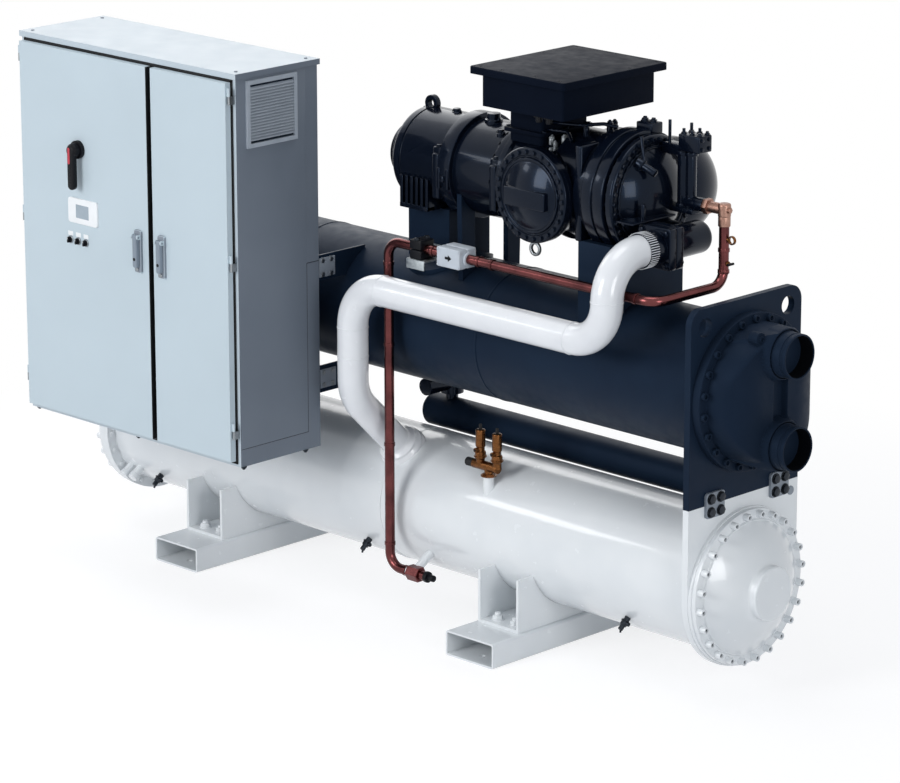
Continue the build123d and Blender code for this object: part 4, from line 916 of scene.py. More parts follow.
@dataclass
class Condenser:
    """Dark upper vessel: water box with its ridge, return head, bolts and joint plates."""

    axis_z: float = 1155.0
    left_face: float = -3235.0
    shell_r: float = 260.0
    flange_r: float = 296.0
    flange: float = 36.0
    box_r: float = 258.0
    box_face: float = 165.0
    ridge_half: float = 92.0
    pitch: float = 173.0
    reach: float = 250.0
    nozzle_foot: float = 130.0
    collar_r: float = 95.0
    collar_top: float = 190.0
    cone_r: float = 150.0
    blend: float = 14.0
    pocket_half: tuple[float, float] = (39.0, 80.0)
    pocket_depth: float = 26.0
    bolt_circle_r: float = 277.0
    bolts: int = 22
    plate_split: float = 762.0

    def height(self, y: np.ndarray, z: np.ndarray) -> np.ndarray:
        """Height of the cast water box above its seat, over points across it.

        A smooth maximum joins three forms: the flange, an upright ridge that falls off sideways as a
        quarter ellipse, and a cone round each nozzle. A pocket is sunk between the nozzles.

        Args:
            y: Distances across, from the axis.
            z: Distances up, from the axis.

        Returns:
            Heights in millimetres.
        """
        span = np.hypot(y, z)
        side = np.clip((np.abs(y) - self.ridge_half) / (self.box_r - self.ridge_half), 0, 1)
        ridge = self.flange + (self.box_face - self.flange) * np.sqrt(np.maximum(1 - side**2.1, 0))
        edge = np.clip((self.box_r - span) / 26, 0, 1)
        ridge = self.flange + (ridge - self.flange) * (1 - (1 - edge) ** 2.6)
        total = ridge
        soft = self.blend
        for level in (-1, 1):
            away = np.hypot(y, z - level * self.pitch)
            slope = np.clip((self.cone_r - away) / (self.cone_r - self.collar_r), 0, 1)
            cone = self.flange + (self.collar_top - self.flange) * slope**0.8
            cone = np.where(span < self.box_r + 20, cone, self.flange)
            total = soft * np.logaddexp(total / soft, cone / soft) - soft * math.log(2) * np.exp(
                -np.abs(total - cone) / soft)
        across, upright = self.pocket_half
        pocket = np.clip((across - np.abs(y)) / 7, 0, 1) * np.clip((upright - np.abs(z)) / 9, 0, 1)
        total = total - self.pocket_depth * pocket
        return np.clip(total, self.flange, self.collar_top)

    def box(self) -> Shape:
        """Cast water box as one skin: rings from the seat over the flange, then in to the axis."""
        angle = np.linspace(0, 2 * math.pi, 180, endpoint=False)
        radii = np.concatenate((np.linspace(self.box_r + 4, 12, 92), [0.0]))
        y = radii[:, None] * np.cos(angle)
        z = radii[:, None] * np.sin(angle)
        front = np.stack((self.height(y, z), y, z), -1)
        rim = softened([(0, 0, 0), (0, self.flange_r, 0), (self.flange, self.flange_r, 4),
                        (self.flange, self.box_r + 5, 0)], 4)
        edge = np.stack(np.broadcast_arrays(rim[:, 0, None], rim[:, 1, None] * np.cos(angle),
                                            rim[:, 1, None] * np.sin(angle)), -1)
        skin = grid(np.vstack((edge, front)))
        skin.points = skin.points + np.array([0, 0, self.axis_z])
        return skin

    def nozzle(self, level: int) -> Shape:
        """Grooved nozzle with a collar, bored through: one turned profile."""
        start = self.nozzle_foot
        reach = self.reach - start
        profile = softened([(0, 0, 0), (0, self.collar_r, 0), (self.collar_top - start, self.collar_r, 4),
                            (self.collar_top - start, PIPE_R, 3), *grooved_end(reach, 1, 1.5)], 3)
        return turned(profile, 72).at((start, 0, self.axis_z + level * self.pitch), X_AXIS)

    def plug(self) -> Shape:
        """Round boss with a hex plug on the water box, up and to the left of the upper nozzle."""
        boss = disc(25, 40, 4, 4, 32)
        plug = fastener(Fastener.SOCKET, 15, 46)
        return (boss + plug).at((112.0, -99, self.axis_z + 239), X_AXIS)

    def bore_shades(self) -> Shape:
        """Painted shade in the two nozzles: thin dark cups lining each bore, open to the outside."""
        cup = [(0, 0), (0, 77.4), (107, 77.4), (107, 76.6), (1, 76.6), (1, 0)]
        return joined([turned(cup, 64).at((self.reach - 109.5, 0, self.axis_z + level * self.pitch), X_AXIS)
                       for level in (-1, 1)])

    def bolt_ring(self, x: float, axis: np.ndarray) -> Shape:
        """Flange bolts, evenly on their circle."""
        places = circle_places((x, 0, self.axis_z), axis, self.bolt_circle_r, self.bolts, 8)
        return fastener(Fastener.SOCKET, 18, 14).copies(places, axis)

    def return_head(self) -> Shape:
        """Dished cover at the left end: flange, fillet and spherical cap."""
        cap = cap_profile(self.flange, self.box_r - 6, 96, 18)
        rim = softened([(0, 0, 0), (0, self.flange_r, 0), (self.flange, self.flange_r, 4),
                        (self.flange, self.box_r + 6, 0)], 4)
        fillet = arc((self.flange + 6, self.box_r + 2), 6, 180, 240, 4)
        return turned(np.vstack((rim, fillet, cap[1:])), 128)

    def build(self) -> None:
        """Make every piece of the condenser."""
        # Painted shade: dark cups inside the nozzles.
        make_piece("nozzle_bore_shades", self.bore_shades(), Finish.BORE_SHADE)
        box = self.box() + self.nozzle(1) + self.nozzle(-1) + self.plug()
        make_piece("condenser_water_box_dressed", box, Finish.NAVY_CASTING, stands_for=("condenser_water_box",))
        make_piece("condenser_bolts", self.bolt_ring(self.flange, X_AXIS), Finish.NAVY_CASTING)
        head = self.return_head().at((self.left_face, 0, self.axis_z), -X_AXIS)
        make_piece("condenser_return_head_dressed", head, Finish.NAVY_CASTING, stands_for=("condenser_return_head",))
        make_piece("condenser_left_bolts", self.bolt_ring(self.left_face - self.flange, -X_AXIS), Finish.NAVY_CASTING)
        welds = [hoop((x, 0, self.axis_z), X_AXIS, self.shell_r, 9, rise)
                 for x, rise in ((-32.0, 4), (self.left_face + 32, 4), (-1120.0, 2), (-2180.0, 2))]
        make_piece("condenser_welds", joined(welds), Finish.NAVY_PAINT)
        self.joint_plates()

    def joint_plates(self) -> None:
        """Grey plates with four dark bolts each, over the split between dark and white plates."""
        for name, x, axis in (("right", 0.0, X_AXIS), ("left", self.left_face, -X_AXIS)):
            plates, bolts = [], []
            for y in (-169.0, 190.0):
                outline = rounded_rectangle(100, 96, 13, 5)
                plates.append(slab(outline, 12, 1.5).at((x, y, self.plate_split), axis))
                places = np.array([[x + 12 * axis[0], y + dy, self.plate_split + dz]
                                   for dy in (-26, 26) for dz in (-25, 25)])
                bolts.append(fastener(Fastener.HEX, 20, 12).copies(places, axis))
            make_piece(f"joint_plates_{name}_dressed", joined(plates), Finish.PLATE_PAINT,
                       stands_for=(f"joint_plates_{name}",))
            make_piece(f"joint_bolts_{name}", joined(bolts), Finish.DARK_STEEL)


@dataclass
class Feet:
    """Bolts that hold the saddles to the foot beams."""

    beams: tuple[float, ...] = (-2591.0, -934.0)
    half_width: float = 324.0
    top: float = 112.0

    def build(self) -> None:
        """Make the saddle bolts."""
        places = np.array([[x + dx, side * (self.half_width - 46), self.top]
                           for x in self.beams for dx in (-46, 46) for side in (-1, 1)])
        bolts = fastener(Fastener.NUT, 24, 18).copies(places, Z_AXIS)
        make_piece("saddle_bolts", bolts, Finish.WHITE_PAINT)


@dataclass
class ReliefGroup:
    """Double relief valve on its white stub: bronze bodies and black caps."""

    x: float = -1110.0
    y: float = -195.0
    shell_z: float = 587.0
    half_pitch: float = 44.0
    top: float = 834.0

    def build(self) -> None:
        """Make the stub, the change-over body, the two valves and the caps."""
        stub_top = self.shell_z + 52
        middle = stub_top + 34
        stub = rod((self.x, self.y, self.shell_z - 50), (self.x, self.y, stub_top), 21, 4)
        make_piece("relief_stub_dressed", stub, Finish.WHITE_PAINT, stands_for=("relief_stub",))
        left = self.x - self.half_pitch - 34
        right = self.x + self.half_pitch + 8
        brass = [rod((self.x, self.y, stub_top), (self.x, self.y, middle), 17, 1),
                 rod((left, self.y, middle), (right, self.y, middle), 19, 3),
                 fastener(Fastener.HEX, 30, 10).at((self.x, self.y, stub_top - 2))]
        dark = [rod((left - 36, self.y, middle), (left, self.y, middle), 17, 4)]
        for side in (-1, 1):
            x = self.x + side * self.half_pitch
            tall = self.top - middle
            profile = softened([(0, 0, 0), (0, 17, 0), (24, 17, 2), (28, 21, 1), (52, 21, 2), (56, 16, 1),
                                (70, 16, 0), (74, 19, 1), (tall - 22, 19, 3), (tall - 20, 12, 1),
                                (tall - 20, 0, 0)], 3)
            brass.append(turned(profile, 32).at((x, self.y, middle)))
            brass.append(fastener(Fastener.HEX, 24, 16).at((x, self.y, middle + 32)))
            brass.append(rod((x, self.y - 30, middle + 62), (x, self.y, middle + 62), 9, 1))
            dark.append(rod((x, self.y, self.top - 22), (x, self.y, self.top), 6, 1))
            dark.append(rod((x, self.y - 34, middle + 62), (x, self.y - 29, middle + 62), 5, 1))
        make_piece("relief_valve_brass", joined(brass), Finish.BRONZE, stands_for=("relief_valve",))
        make_piece("relief_valve_caps", joined(dark), Finish.RUBBER)


@dataclass
class Cabinet:
    """Control cabinet: door furniture, seals, grille, side panel, bolts under its floor and the gear inside."""

    x: tuple[float, float] = (-3094.0, -1854.0)
    y: tuple[float, float] = (-790.0, -370.0)
    z: tuple[float, float] = (640.0, 2175.0)
    door_front: float = -824.0
    split_x: float = -2313.0
    isolator: tuple[float, float] = (-2728.0, 1758.0)
    display: tuple[float, float] = (-2705.0, 1511.0)
    knobs: tuple[float, ...] = (-2788.0, -2742.0, -2696.0)
    knob_z: float = 1388.0
    handles: tuple[float, float] = (-2381.0, -2245.0)
    handle_z: float = 1410.0
    grille: tuple[float, float] = (-613.0, 2012.0)
    grille_size: float = 258.0
    gear_back: float = -413.0

    def out(self, x: float, z: float, stand: float = 0.0) -> np.ndarray:
        """A point on the door front, or in front of it."""
        return np.array([x, self.door_front - stand, z])

    def on_door(self, shape: Shape, x: float, z: float, stand: float = 0.0) -> Shape:
        """A shape stood on the door front, with its own Y upright."""
        return shape.at(self.out(x, z, stand), -Y_AXIS, Z_AXIS)

    def switch(self) -> None:
        """Main switch: black seat, grip with a hub, a long lever that hangs down, and a red insert."""
        x, z = self.isolator
        seat = self.on_door(disc(36, 15, 1.2, 4, 48), x, z, -0.3)
        make_piece("isolator_seat", seat, Finish.BLACK_PLASTIC, "left_door")
        hub = turned(softened([(0, 0, 0), (0, 27.5, 0), (22, 27.5, 3), (33.6, 19, 5), (33.6, 0, 0)], 5), 48)
        lever = slab(rounded_rectangle(36, 174, 18, 9), 24, 6, True, 4)
        grip = self.on_door(hub, x, z, 14.3) + self.on_door(lever, x, z - 69, 23.6)
        make_piece("isolator_grip", grip, Finish.BLACK_PLASTIC, "isolator", ("isolator_handle",))
        insert = self.on_door(slab(rounded_rectangle(13, 66, 6, 5), 1.4, 0.4), x - 6, z - 20, 46.6)
        make_piece("isolator_insert", insert, Finish.RED_PLASTIC, "isolator")

    def panel_display(self) -> None:
        """Operator display: white plate with soft edges, a thin frame and an unlit screen."""
        x, z = self.display
        thick = 9
        plate = self.on_door(slab(rounded_rectangle(173, 101, 13, 7), thick, 3, False, 4), x, z)
        make_piece("display_plate", plate, Finish.WHITE_PLASTIC, "left_door", ("display_panel",))
        bezel = self.on_door(slab(rounded_rectangle(84, 62, 4, 3), 0.5, 0.2), x, z, thick)
        make_piece("display_bezel", bezel, Finish.WHITE_PLASTIC, "left_door")
        screen = self.on_door(slab(rounded_rectangle(76, 54, 2, 3), 0.8, 0.2), x, z, thick)
        make_piece("display_screen", screen, Finish.SCREEN, "left_door")

    def selectors(self) -> None:
        """Three selector switches: collar, knob with a bevelled grip and a mark, and a bare white plate above."""
        for number, x in enumerate(self.knobs, 1):
            body = f"selector_{number}"
            collar = turned(softened([(0, 0, 0), (0, 15.5, 0), (4, 15.5, 1.5), (5, 13.6, 0.5), (5, 0, 0)], 3), 36)
            make_piece(f"selector_collar_{number}", self.on_door(collar, x, self.knob_z), Finish.STEEL, "left_door")
            knob = turned(softened([(5.3, 0, 0), (5.3, 12.6, 0), (9, 12.6, 1.5), (9, 0, 0)], 3), 36)
            grip = slab(rounded_rectangle(8.6, 23, 3.4, 4), 10.5, 2, False, 3)
            grip.points[:, 2] += 8.5
            mark = slab(rounded_rectangle(1.8, 8, 0.8, 2), 0.5, 0.1)
            mark.points += np.array([0, 6.0, 19.0])
            make_piece(f"selector_grip_{number}", self.on_door(knob + grip, x, self.knob_z), Finish.BLACK_PLASTIC,
                       body, (f"selector_knob_{number}",))
            make_piece(f"selector_mark_{number}", self.on_door(mark, x, self.knob_z), Finish.WHITE_PLASTIC, body)
            plate = self.on_door(slab(rounded_rectangle(29, 17, 1.5, 3), 1.5, 0.4), x, self.knob_z + 25)
            make_piece(f"selector_plate_{number}", plate, Finish.WHITE_PLASTIC, "left_door")

    def swing_handles(self) -> None:
        """Handle cases on both doors, with their levers, barrel locks, keyholes and axles."""
        axle_z = self.handle_z + 59
        axle_y = self.door_front - 19.3
        key_z = axle_z - 88
        for side, x in zip(("left", "right"), self.handles):
            door, lever_body = f"{side}_door", f"{side}_handle"
            case = self.on_door(slab(rounded_rectangle(39, 169, 8, 5), 10.3, 3, False, 4), x, self.handle_z)
            make_piece(f"handle_case_{side}", case, Finish.PLATE_PAINT, door)
            lock = self.on_door(disc(8, 4, 1, 3, 28), x, self.handle_z - 72, 10.3)
            make_piece(f"handle_lock_{side}", lock, Finish.STEEL, door)
            lever = self.on_door(slab(rounded_rectangle(24, 123, 9, 6), 17.5, 5, False, 4), x, axle_z - 60.2, 10.6)
            hub = rod((x - 12, axle_y, axle_z), (x + 12, axle_y, axle_z), 8.6, 1.5)
            axle = rod((x - 19, axle_y, axle_z), (x + 19, axle_y, axle_z), 4, 0.5)
            keyhole = rod((x, self.door_front - 27.6, key_z), (x, self.door_front - 29.0, key_z), 6.5, 0.4)
            make_piece(f"handle_keyhole_{side}", keyhole, Finish.BLACK_PLASTIC, lever_body)
            make_piece(f"handle_lever_{side}", lever + hub + axle, Finish.HANDLE_PAINT, lever_body,
                       (f"swing_handle_{side}",))

    def seals(self) -> None:
        """Rubber seal on the cabinet mouth, all round and down the post, where it is also painted shade behind the
        door gap; and a black strip on the left door's edge, painted shade in the gap.
        """
        front = self.y[0]
        height = (self.z[0] + 12, self.z[1] - 26)
        strips = [block((x - 6, x + 6), (front - 5, front), height, 2) for x in (self.x[0] + 21, self.x[1] - 21)]
        # A real seal down the post, wide and black, so that it also paints the shade behind the door gap.
        strips.append(block((self.split_x - 34, self.split_x + 34), (front - 4.5, front), height, 2))
        for z in (self.z[0] + 16, self.z[1] - 30):
            strips.append(block((self.x[0] + 15, self.x[1] - 15), (front - 5, front), (z - 6, z + 6), 2))
        make_piece("door_seals", joined(strips), Finish.RUBBER)
        # Painted shade: a black strip on the left door's edge darkens the gap between the doors.
        edge = block((self.split_x - 14, self.split_x - 12.6), (self.door_front + 0.5, front - 8.5),
                     (self.z[0] + 24, self.z[1] - 35), 0.5)
        make_piece("door_edge_shade_strip", edge, Finish.RUBBER, "left_door")

    def side_panel(self) -> None:
        """Both side panels in the shaded grey, a dark sheet behind the grille as painted shade between its blades, the
        grille's screws, and seams beside the panel.
        """
        right = self.x[1]
        outline = rounded_rectangle(1446, 352, 2, 2)
        # Painted shade: both side panels take the darker grey of the shaded sides.
        panel = slab(outline[:, ::-1], 1.3, 0.5).at((right, -610.0, 1429.0), X_AXIS)
        make_piece("side_panel", panel, Finish.SHADED_SIDE_PAINT)
        y, z = self.grille
        # Painted shade: the dark sheet under the grille darkens the gaps between its blades.
        shade_sheet = slab(rounded_rectangle(232, 232, 2, 2), 0.7, 0.2).at((right + 1.3, y, z), X_AXIS)
        make_piece("grille_shade_sheet", shade_sheet, Finish.GRILLE_SHADE)
        half = self.grille_size / 2 - 8
        places = np.array([[right + 12, y + a * half, z + b * half] for a in (-1, 1) for b in (-1, 1)])
        make_piece("grille_screws", fastener(Fastener.PAN, 4).copies(places, X_AXIS), Finish.GRILLE_PLASTIC)
        seam = [block((right, right + 1.6), y, z, 0.3) for y, z in (
            ((-436, -434), (710, 1384)), ((-786, -434), (709, 711)), ((-436, -372), (1383, 1385)))]
        make_piece("side_seams", joined(seam), Finish.RUBBER)
        left = slab(outline[:, ::-1], 1.3, 0.5).at((self.x[0], -580.0, 1429.0), -X_AXIS)
        make_piece("side_panel_left", left, Finish.SHADED_SIDE_PAINT)

    def underside(self) -> None:
        """Short bolts under the cabinet floor and screws along the roof edge."""
        places = np.array([[x, y, self.z[0]] for x in (self.x[0] + 20, self.x[1] - 6, -2470.0)
                           for y in (-771.0, -446.0)])
        make_piece("cabinet_bolts", fastener(Fastener.NUT, 12).copies(places, -Z_AXIS), Finish.DARK_STEEL)
        roof = np.array([[x, y, self.z[1]] for x in (self.x[0] + 30, self.x[1] - 30) for y in (-760.0, -400.0)])
        # The roof screws take the darker copy of the cabinet's paint that stands for painted shade.
        make_piece("roof_screws", fastener(Fastener.PAN, 7).copies(roof, Z_AXIS), Finish.SHADED_SIDE_PAINT)

    def gear(self) -> None:
        """Plain electrical gear on the mounting plate: drive, switches, contactors, terminals and trunking."""
        def unit(x: tuple[float, float], depth: float, z: tuple[float, float], edge: float,
                 sunk: float = 0.0) -> Shape:
            """Block on the mounting plate, or one whose back stands in front of the plate."""
            return block(x, (self.gear_back - depth, self.gear_back - sunk), z, edge)

        pale = [unit((x - 16, x + 16), 62, (700, 2110), 2) for x in (-3030.0, -2700.0, -2350.0, -2270.0, -1905.0)]
        pale += [unit((-3010, -2370), 60, (z - 18, z + 18), 2) for z in (716.0, 1180.0, 1560.0, 2090.0)]
        grey = [unit((-2240, -1935), 168, (1240, 2050), 8)]
        dark = [unit((-2215, -1960), 172, (z, z + 24), 2, 166) for z in range(1300, 2000, 50)]
        for x in range(-2990, -2720, 30):
            dark.append(unit((x, x + 27), 72, (1850, 1935), 2))
            grey.append(unit((x + 7, x + 20), 84, (1880, 1906), 2, 70))
        for x in range(-2655, -2365, 58):
            dark.append(unit((x, x + 50), 96, (1650, 1740), 3))
            grey.append(unit((x + 6, x + 44), 104, (1668, 1722), 3, 95))
        dark.append(unit((-2980, -2760), 130, (1230, 1500), 6))
        grey.append(unit((-2640, -2400), 90, (1230, 1420), 6))
        grey += [unit((x, x + 21), 48, (820, 884), 1) for x in range(-2990, -2390, 25)]
        dark.append(unit((-2230, -1945), 110, (760, 1010), 6))
        make_piece("gear_trunking", joined(pale), Finish.GREY_PLASTIC)
        make_piece("gear_grey", joined(grey), Finish.WHITE_PLASTIC)
        make_piece("gear_dark", joined(dark), Finish.BLACK_PLASTIC)

    def bracket_bolts(self) -> None:
        """Bolts through the cabinet brackets near the back of the cabinet."""
        places = np.array([[-1863.0, y, z] for y in (-345.0, -300.0) for z in (880.0, 930.0, 1322.0, 1378.0)])
        make_piece("bracket_bolts", fastener(Fastener.HEX, 12).copies(places, X_AXIS), Finish.STEEL)
        plates = [block((-1863, -1858), (-363, -279), z, 1) for z in ((868.0, 942.0), (1312.0, 1388.0))]
        make_piece("bracket_plates", joined(plates), Finish.PLATE_PAINT)

    def build(self) -> None:
        """Make every piece of the cabinet."""
        self.switch()
        self.panel_display()
        self.selectors()
        self.swing_handles()
        self.seals()
        self.side_panel()
        self.underside()
        self.gear()
        self.bracket_bolts()


@dataclass
class Compressor:
    """Screw compressor: motor barrel, band, body, cross barrel, drum, covers and their bolts."""

    axis_z: float = 1785.0
    motor: tuple[float, float] = (-1645.0, -1075.0)
    motor_r: float = 184.0
    band_x: float = -1346.0
    ribs_x: tuple[float, float] = (-1395.0, -1095.0)
    body_end: float = -807.0
    body_r: float = 200.0
    drum: tuple[float, float] = (-807.0, -493.0)
    drum_r: float = 226.0
    drum_z: float = 1804.0
    gate_x: float = -845.0
    gate_face: float = 230.0
    separator: tuple[float, float] = (290.0, 1763.0)

    def motor_barrel(self) -> Shape:
        """Motor barrel with a rounded left edge, a joint groove and a flange at the right, and its band."""
        left, right = self.motor
        r = self.motor_r
        length = right - left
        profile = softened([(0, 0, 0), (0, r, 24), (40, r, 0), (42, r - 5, 1), (48, r - 5, 1), (50, r, 0),
                            (length - 34, r, 0), (length - 34, r + 12, 4), (length, r + 12, 4), (length, 0, 0)], 6)
        barrel = turned(profile, 128).at((left, 0, self.axis_z), X_AXIS)
        return barrel + hoop((self.band_x, 0, self.axis_z), X_AXIS, r - 1, 64, 21, 128, 5)

    def body(self) -> Shape:
        """Middle body with flange rings at both ends and one rib, up to the drum."""
        length = self.body_end - self.motor[1]
        r = self.body_r
        profile = softened([(0, 0, 0), (0, r, 0), (26, r, 4), (32, r - 12, 6), (96, r - 12, 5), (100, r, 3),
                            (120, r, 3), (124, r - 12, 5), (length - 20, r - 12, 3), (length - 16, r, 3),
                            (length, r, 2), (length, 0, 0)], 4)
        return turned(profile, 112).at((self.motor[1], 0, self.axis_z), X_AXIS)

    def gate(self, side: int) -> Shape:
        """Half of the cross barrel with its flange, towards the front or the back."""
        face = self.gate_face
        profile = softened([(0, 0, 0), (0, 160, 0), (face - 36, 160, 10), (face - 24, 180, 4), (face, 180, 1),
                            (face, 0, 0)], 5)
        return turned(profile, 112).at((self.gate_x, 0, self.axis_z), side * Y_AXIS)

    def gate_cover(self, side: int) -> Shape:
        """Cover of the cross barrel: flange, groove, double rim, dome and a wide flat bar across it."""
        rim = softened([(0, 0, 0), (0, 180, 0), (19, 180, 3), (24, 174, 3), (24, 152, 3), (19, 149, 2), (19, 144, 2),
                        (28, 141, 3), (28, 134, 3), (24, 131, 2)], 4)
        dome = cap_profile(24, 128, 32, 20)
        cover = turned(np.vstack((rim, dome)), 128)
        bar = slab(rounded_rectangle(207, 70, 8, 5), 58, 4, False, 4)
        bar.points += np.array([0, -8.0, 0])
        face = np.array([self.gate_x, side * self.gate_face, self.axis_z])
        return (cover + bar).at(face, side * Y_AXIS, Z_AXIS)

    def drum_shell(self) -> Shape:
        """End drum: square flange plate, two raised armour rings with a groove, and the neck under the nuts."""
        r = self.drum_r
        profile = softened([(0, 0, 0), (0, r - 22, 0), (140, r - 22, 4), (144, r - 8, 3), (198, r - 8, 3),
                            (200, r + 10, 4), (247, r + 10, 3), (249, r + 3, 1), (255, r + 3, 1), (257, r + 10, 3),
                            (302, r + 10, 4), (304, r - 20, 3), (314, r - 20, 1), (314, 0, 0)], 4)
        shell = turned(profile, 160).at((self.drum[0], 0, self.drum_z), X_AXIS)
        return shell + block((-664, -632), (-206, 206), (1636, 1996), 8)

    def drum_cover(self) -> Shape:
        """Domed end cover: flange, groove, raised double lip and spherical cap."""
        rim = softened([(0, 0, 0), (0, 226, 0), (22, 226, 3), (28, 219, 3), (28, 199, 3), (22, 196, 2), (22, 190, 2),
                        (32, 187, 3), (32, 180, 3), (27, 177, 2)], 4)
        dome = cap_profile(27, 175, 66, 24)
        return turned(np.vstack((rim, dome)), 160).at((self.drum[1], 0, self.drum_z), X_AXIS)

    def cover_port(self) -> Shape:
        """On the drum cover: a plugged port with an upright tube, and a tray with nuts and a post."""
        x = self.drum[1]
        port = rod((x + 34, -92, 1946), (x + 112, -78, 1912), 15, 4)
        boss = rod((x + 34, -92, 1946), (x + 62, -87, 1934), 22, 5)
        upright = rod((x + 66, -88, 1935), (x + 40, -78, 2040), 6, 2, 20)
        tray = block((x + 28, x + 118), (-205, 28), (1739, 1746), 2)
        post = rod((x + 100, -132, 1744), (x + 100, -132, 1806), 9, 3, 24)
        places = np.array([[x + 58, y, 1739.0] for y in (-186.0, -150.0, -60.0)])
        return joined([port, boss, upright, tray, post, fastener(Fastener.NUT, 12).copies(places, -Z_AXIS)])

    def separator_barrel(self) -> Shape:
        """Short barrel and deep dome of the oil separator, behind the drum."""
        y, z = self.separator
        profile = np.vstack(([(0, 0), (0, 190)], cap_profile(65, 190, 119, 26)))
        barrel = turned(profile, 128).at((-655.0, y, z), X_AXIS)
        return barrel + hoop((-612.0, y, z), X_AXIS, 189, 30, 1.0, 128, 0.4)

    def motor_end(self) -> Shape:
        """Stepped cover on the left end of the motor, with its bolts."""
        place = np.array([self.motor[0], 0, self.axis_z])
        profile = softened([(0, 0, 0), (0, 164, 0), (11, 164, 4), (13, 122, 3), (58, 122, 5), (59, 110, 2),
                            (81, 110, 7), (81, 52, 3), (77, 47, 2), (77, 0, 0)], 4)
        cover = turned(profile, 96).at(place, -X_AXIS)
        outer = circle_places((self.motor[0] - 11, 0, self.axis_z), -X_AXIS, 145, 16)
        inner = circle_places((self.motor[0] - 80, 0, self.axis_z), -X_AXIS, 82, 8)
        return cover + fastener(Fastener.HEX, 12, 8).copies(outer, -X_AXIS) + fastener(
            Fastener.HEX, 8, 1.4).copies(inner, -X_AXIS)

    def bolts(self) -> Shape:
        """Bolts of the gate covers, drum cover and motor flange, also from behind the drum cover."""
        shapes = []
        for side in (-1, 1):
            places = circle_places((self.gate_x, side * (self.gate_face + 24), self.axis_z), side * Y_AXIS, 163, 26)
            shapes.append(fastener(Fastener.HEX, 11, 8).copies(places, side * Y_AXIS))
        ring = circle_places((self.drum[1] + 28, 0, self.drum_z), X_AXIS, 209, 36)
        shapes.append(fastener(Fastener.HEX, 11, 8).copies(ring, X_AXIS))
        back = circle_places((self.drum[1], 0, self.drum_z), -X_AXIS, 216, 40)
        shapes.append(fastener(Fastener.HEX, 10, 7).copies(back, -X_AXIS))
        motor = circle_places((self.motor[1] - 34, 0, self.axis_z), -X_AXIS, 190, 24)
        shapes.append(fastener(Fastener.HEX, 9, 6).copies(motor, -X_AXIS))
        return joined(shapes)

    def motor_feet(self) -> Shape:
        """Comb-like saddle under the motor, upright ribs with bolts, the band's clamp and the lifting lug."""
        shapes = [block((-1586, -1445), (-172, 172), (1613, 1700), 6)]
        for side in (-1, 1):
            for number in range(6):
                x = -1583 + number * 27.0
                shapes.append(block((x - 7, x + 7), tuple(sorted((side * 120, side * 191))), (1613, 1738), 3))
            shapes.append(block((-1590, -1441), tuple(sorted((side * 150, side * 192))), (1612, 1630), 3))
            for x in self.ribs_x:
                shapes.append(block((x - 26, x + 26), tuple(sorted((side * 140, side * 183))), (1690, 1872), 8))
                shapes.append(block((x - 18, x + 18), tuple(sorted((side * 160, side * 196))), (1673, 1848), 7))
                shapes.append(fastener(Fastener.HEX, 15).at((x, side * 168.0, 1871.0), Z_AXIS))
            for x in (self.band_x - 22, self.band_x + 22):
                shapes.append(block((x - 8, x + 8), tuple(sorted((side * 180, side * 208))), (1720, 1800), 3))
            shapes.append(fastener(Fastener.HEX, 15).at((self.band_x, side * 203, 1760.0), side * Y_AXIS))
        ring = loop(12, (16, 1), (33, 4), 3, 40)
        shapes.append(ring.at((-1600.0, 0, 1984.0), Y_AXIS))
        shapes.append(block((-1643, -1557), (-12, 12), (1900, 1969), 5))
        return joined(shapes)

    def top_fittings(self) -> Shape:
        """Pads and caps along the top of the motor, and the clamp block and studs on top of the drum."""
        shapes = []
        for x, y, tall, radius in ((-1255.0, -20.0, 38.0, 26.0), (-1470.0, 0.0, 20.0, 15.0),
                                   (-1150.0, -90.0, 24.0, 13.0)):
            base = self.axis_z + math.sqrt(self.motor_r**2 - y**2) - 6
            shapes.append(rod((x, y, base - 6), (x, y, base + tall * 0.4), radius * 1.35, 3))
            shapes.append(rod((x, y, base), (x, y, base + tall), radius, 3))
            places = np.array([[x + dx, y, base + tall * 0.4] for dx in (-radius * 1.1, radius * 1.1)])
            shapes.append(fastener(Fastener.NUT, 8).copies(places, Z_AXIS))
        shapes.append(block((-578, -500), (30, 92), (2020, 2062), 5))
        places = np.array([[x, 60.0, 2062.0] for x in (-560.0, -518.0)])
        shapes.append(fastener(Fastener.NUT, 16).copies(places, Z_AXIS))
        for x, y, top in ((-680.0, 0.0, 2058.0), (-742.0, -60.0, 2040.0), (-720.0, 70.0, 2044.0)):
            base = self.drum_z + math.sqrt((self.drum_r - 22) ** 2 - y**2) - 6
            shapes.append(rod((x, y, base), (x, y, top - 14), 12, 2, 24))
            shapes.append(fastener(Fastener.NUT, 12).at((x, y, top - 15)))
        return joined(shapes)

    def body_fittings(self) -> Shape:
        """Bright caps and nuts on the body beside the terminal neck, and an eye under each gate flange."""
        shapes = []
        for x, y, tall, radius in ((-886.0, -92.0, 26.0, 13.0), (-856.0, -104.0, 20.0, 10.0),
                                   (-826.0, -88.0, 34.0, 12.0), (-796.0, -100.0, 20.0, 10.0),
                                   (-886.0, 92.0, 26.0, 13.0)):
            base = self.axis_z + math.sqrt((self.body_r - 12) ** 2 - y**2) - 4
            shapes.append(rod((x, y, base), (x, y, base + tall), radius, 2, 24))
            shapes.append(fastener(Fastener.NUT, radius).at((x, y, base + tall - 1)))
        eye = loop(6, (17, 3), (28, 4), 4, 36)
        for side in (-1, 1):
            shapes.append(eye.at((self.gate_x, side * 222.0, 1578.0), side * Y_AXIS))
        return joined(shapes)

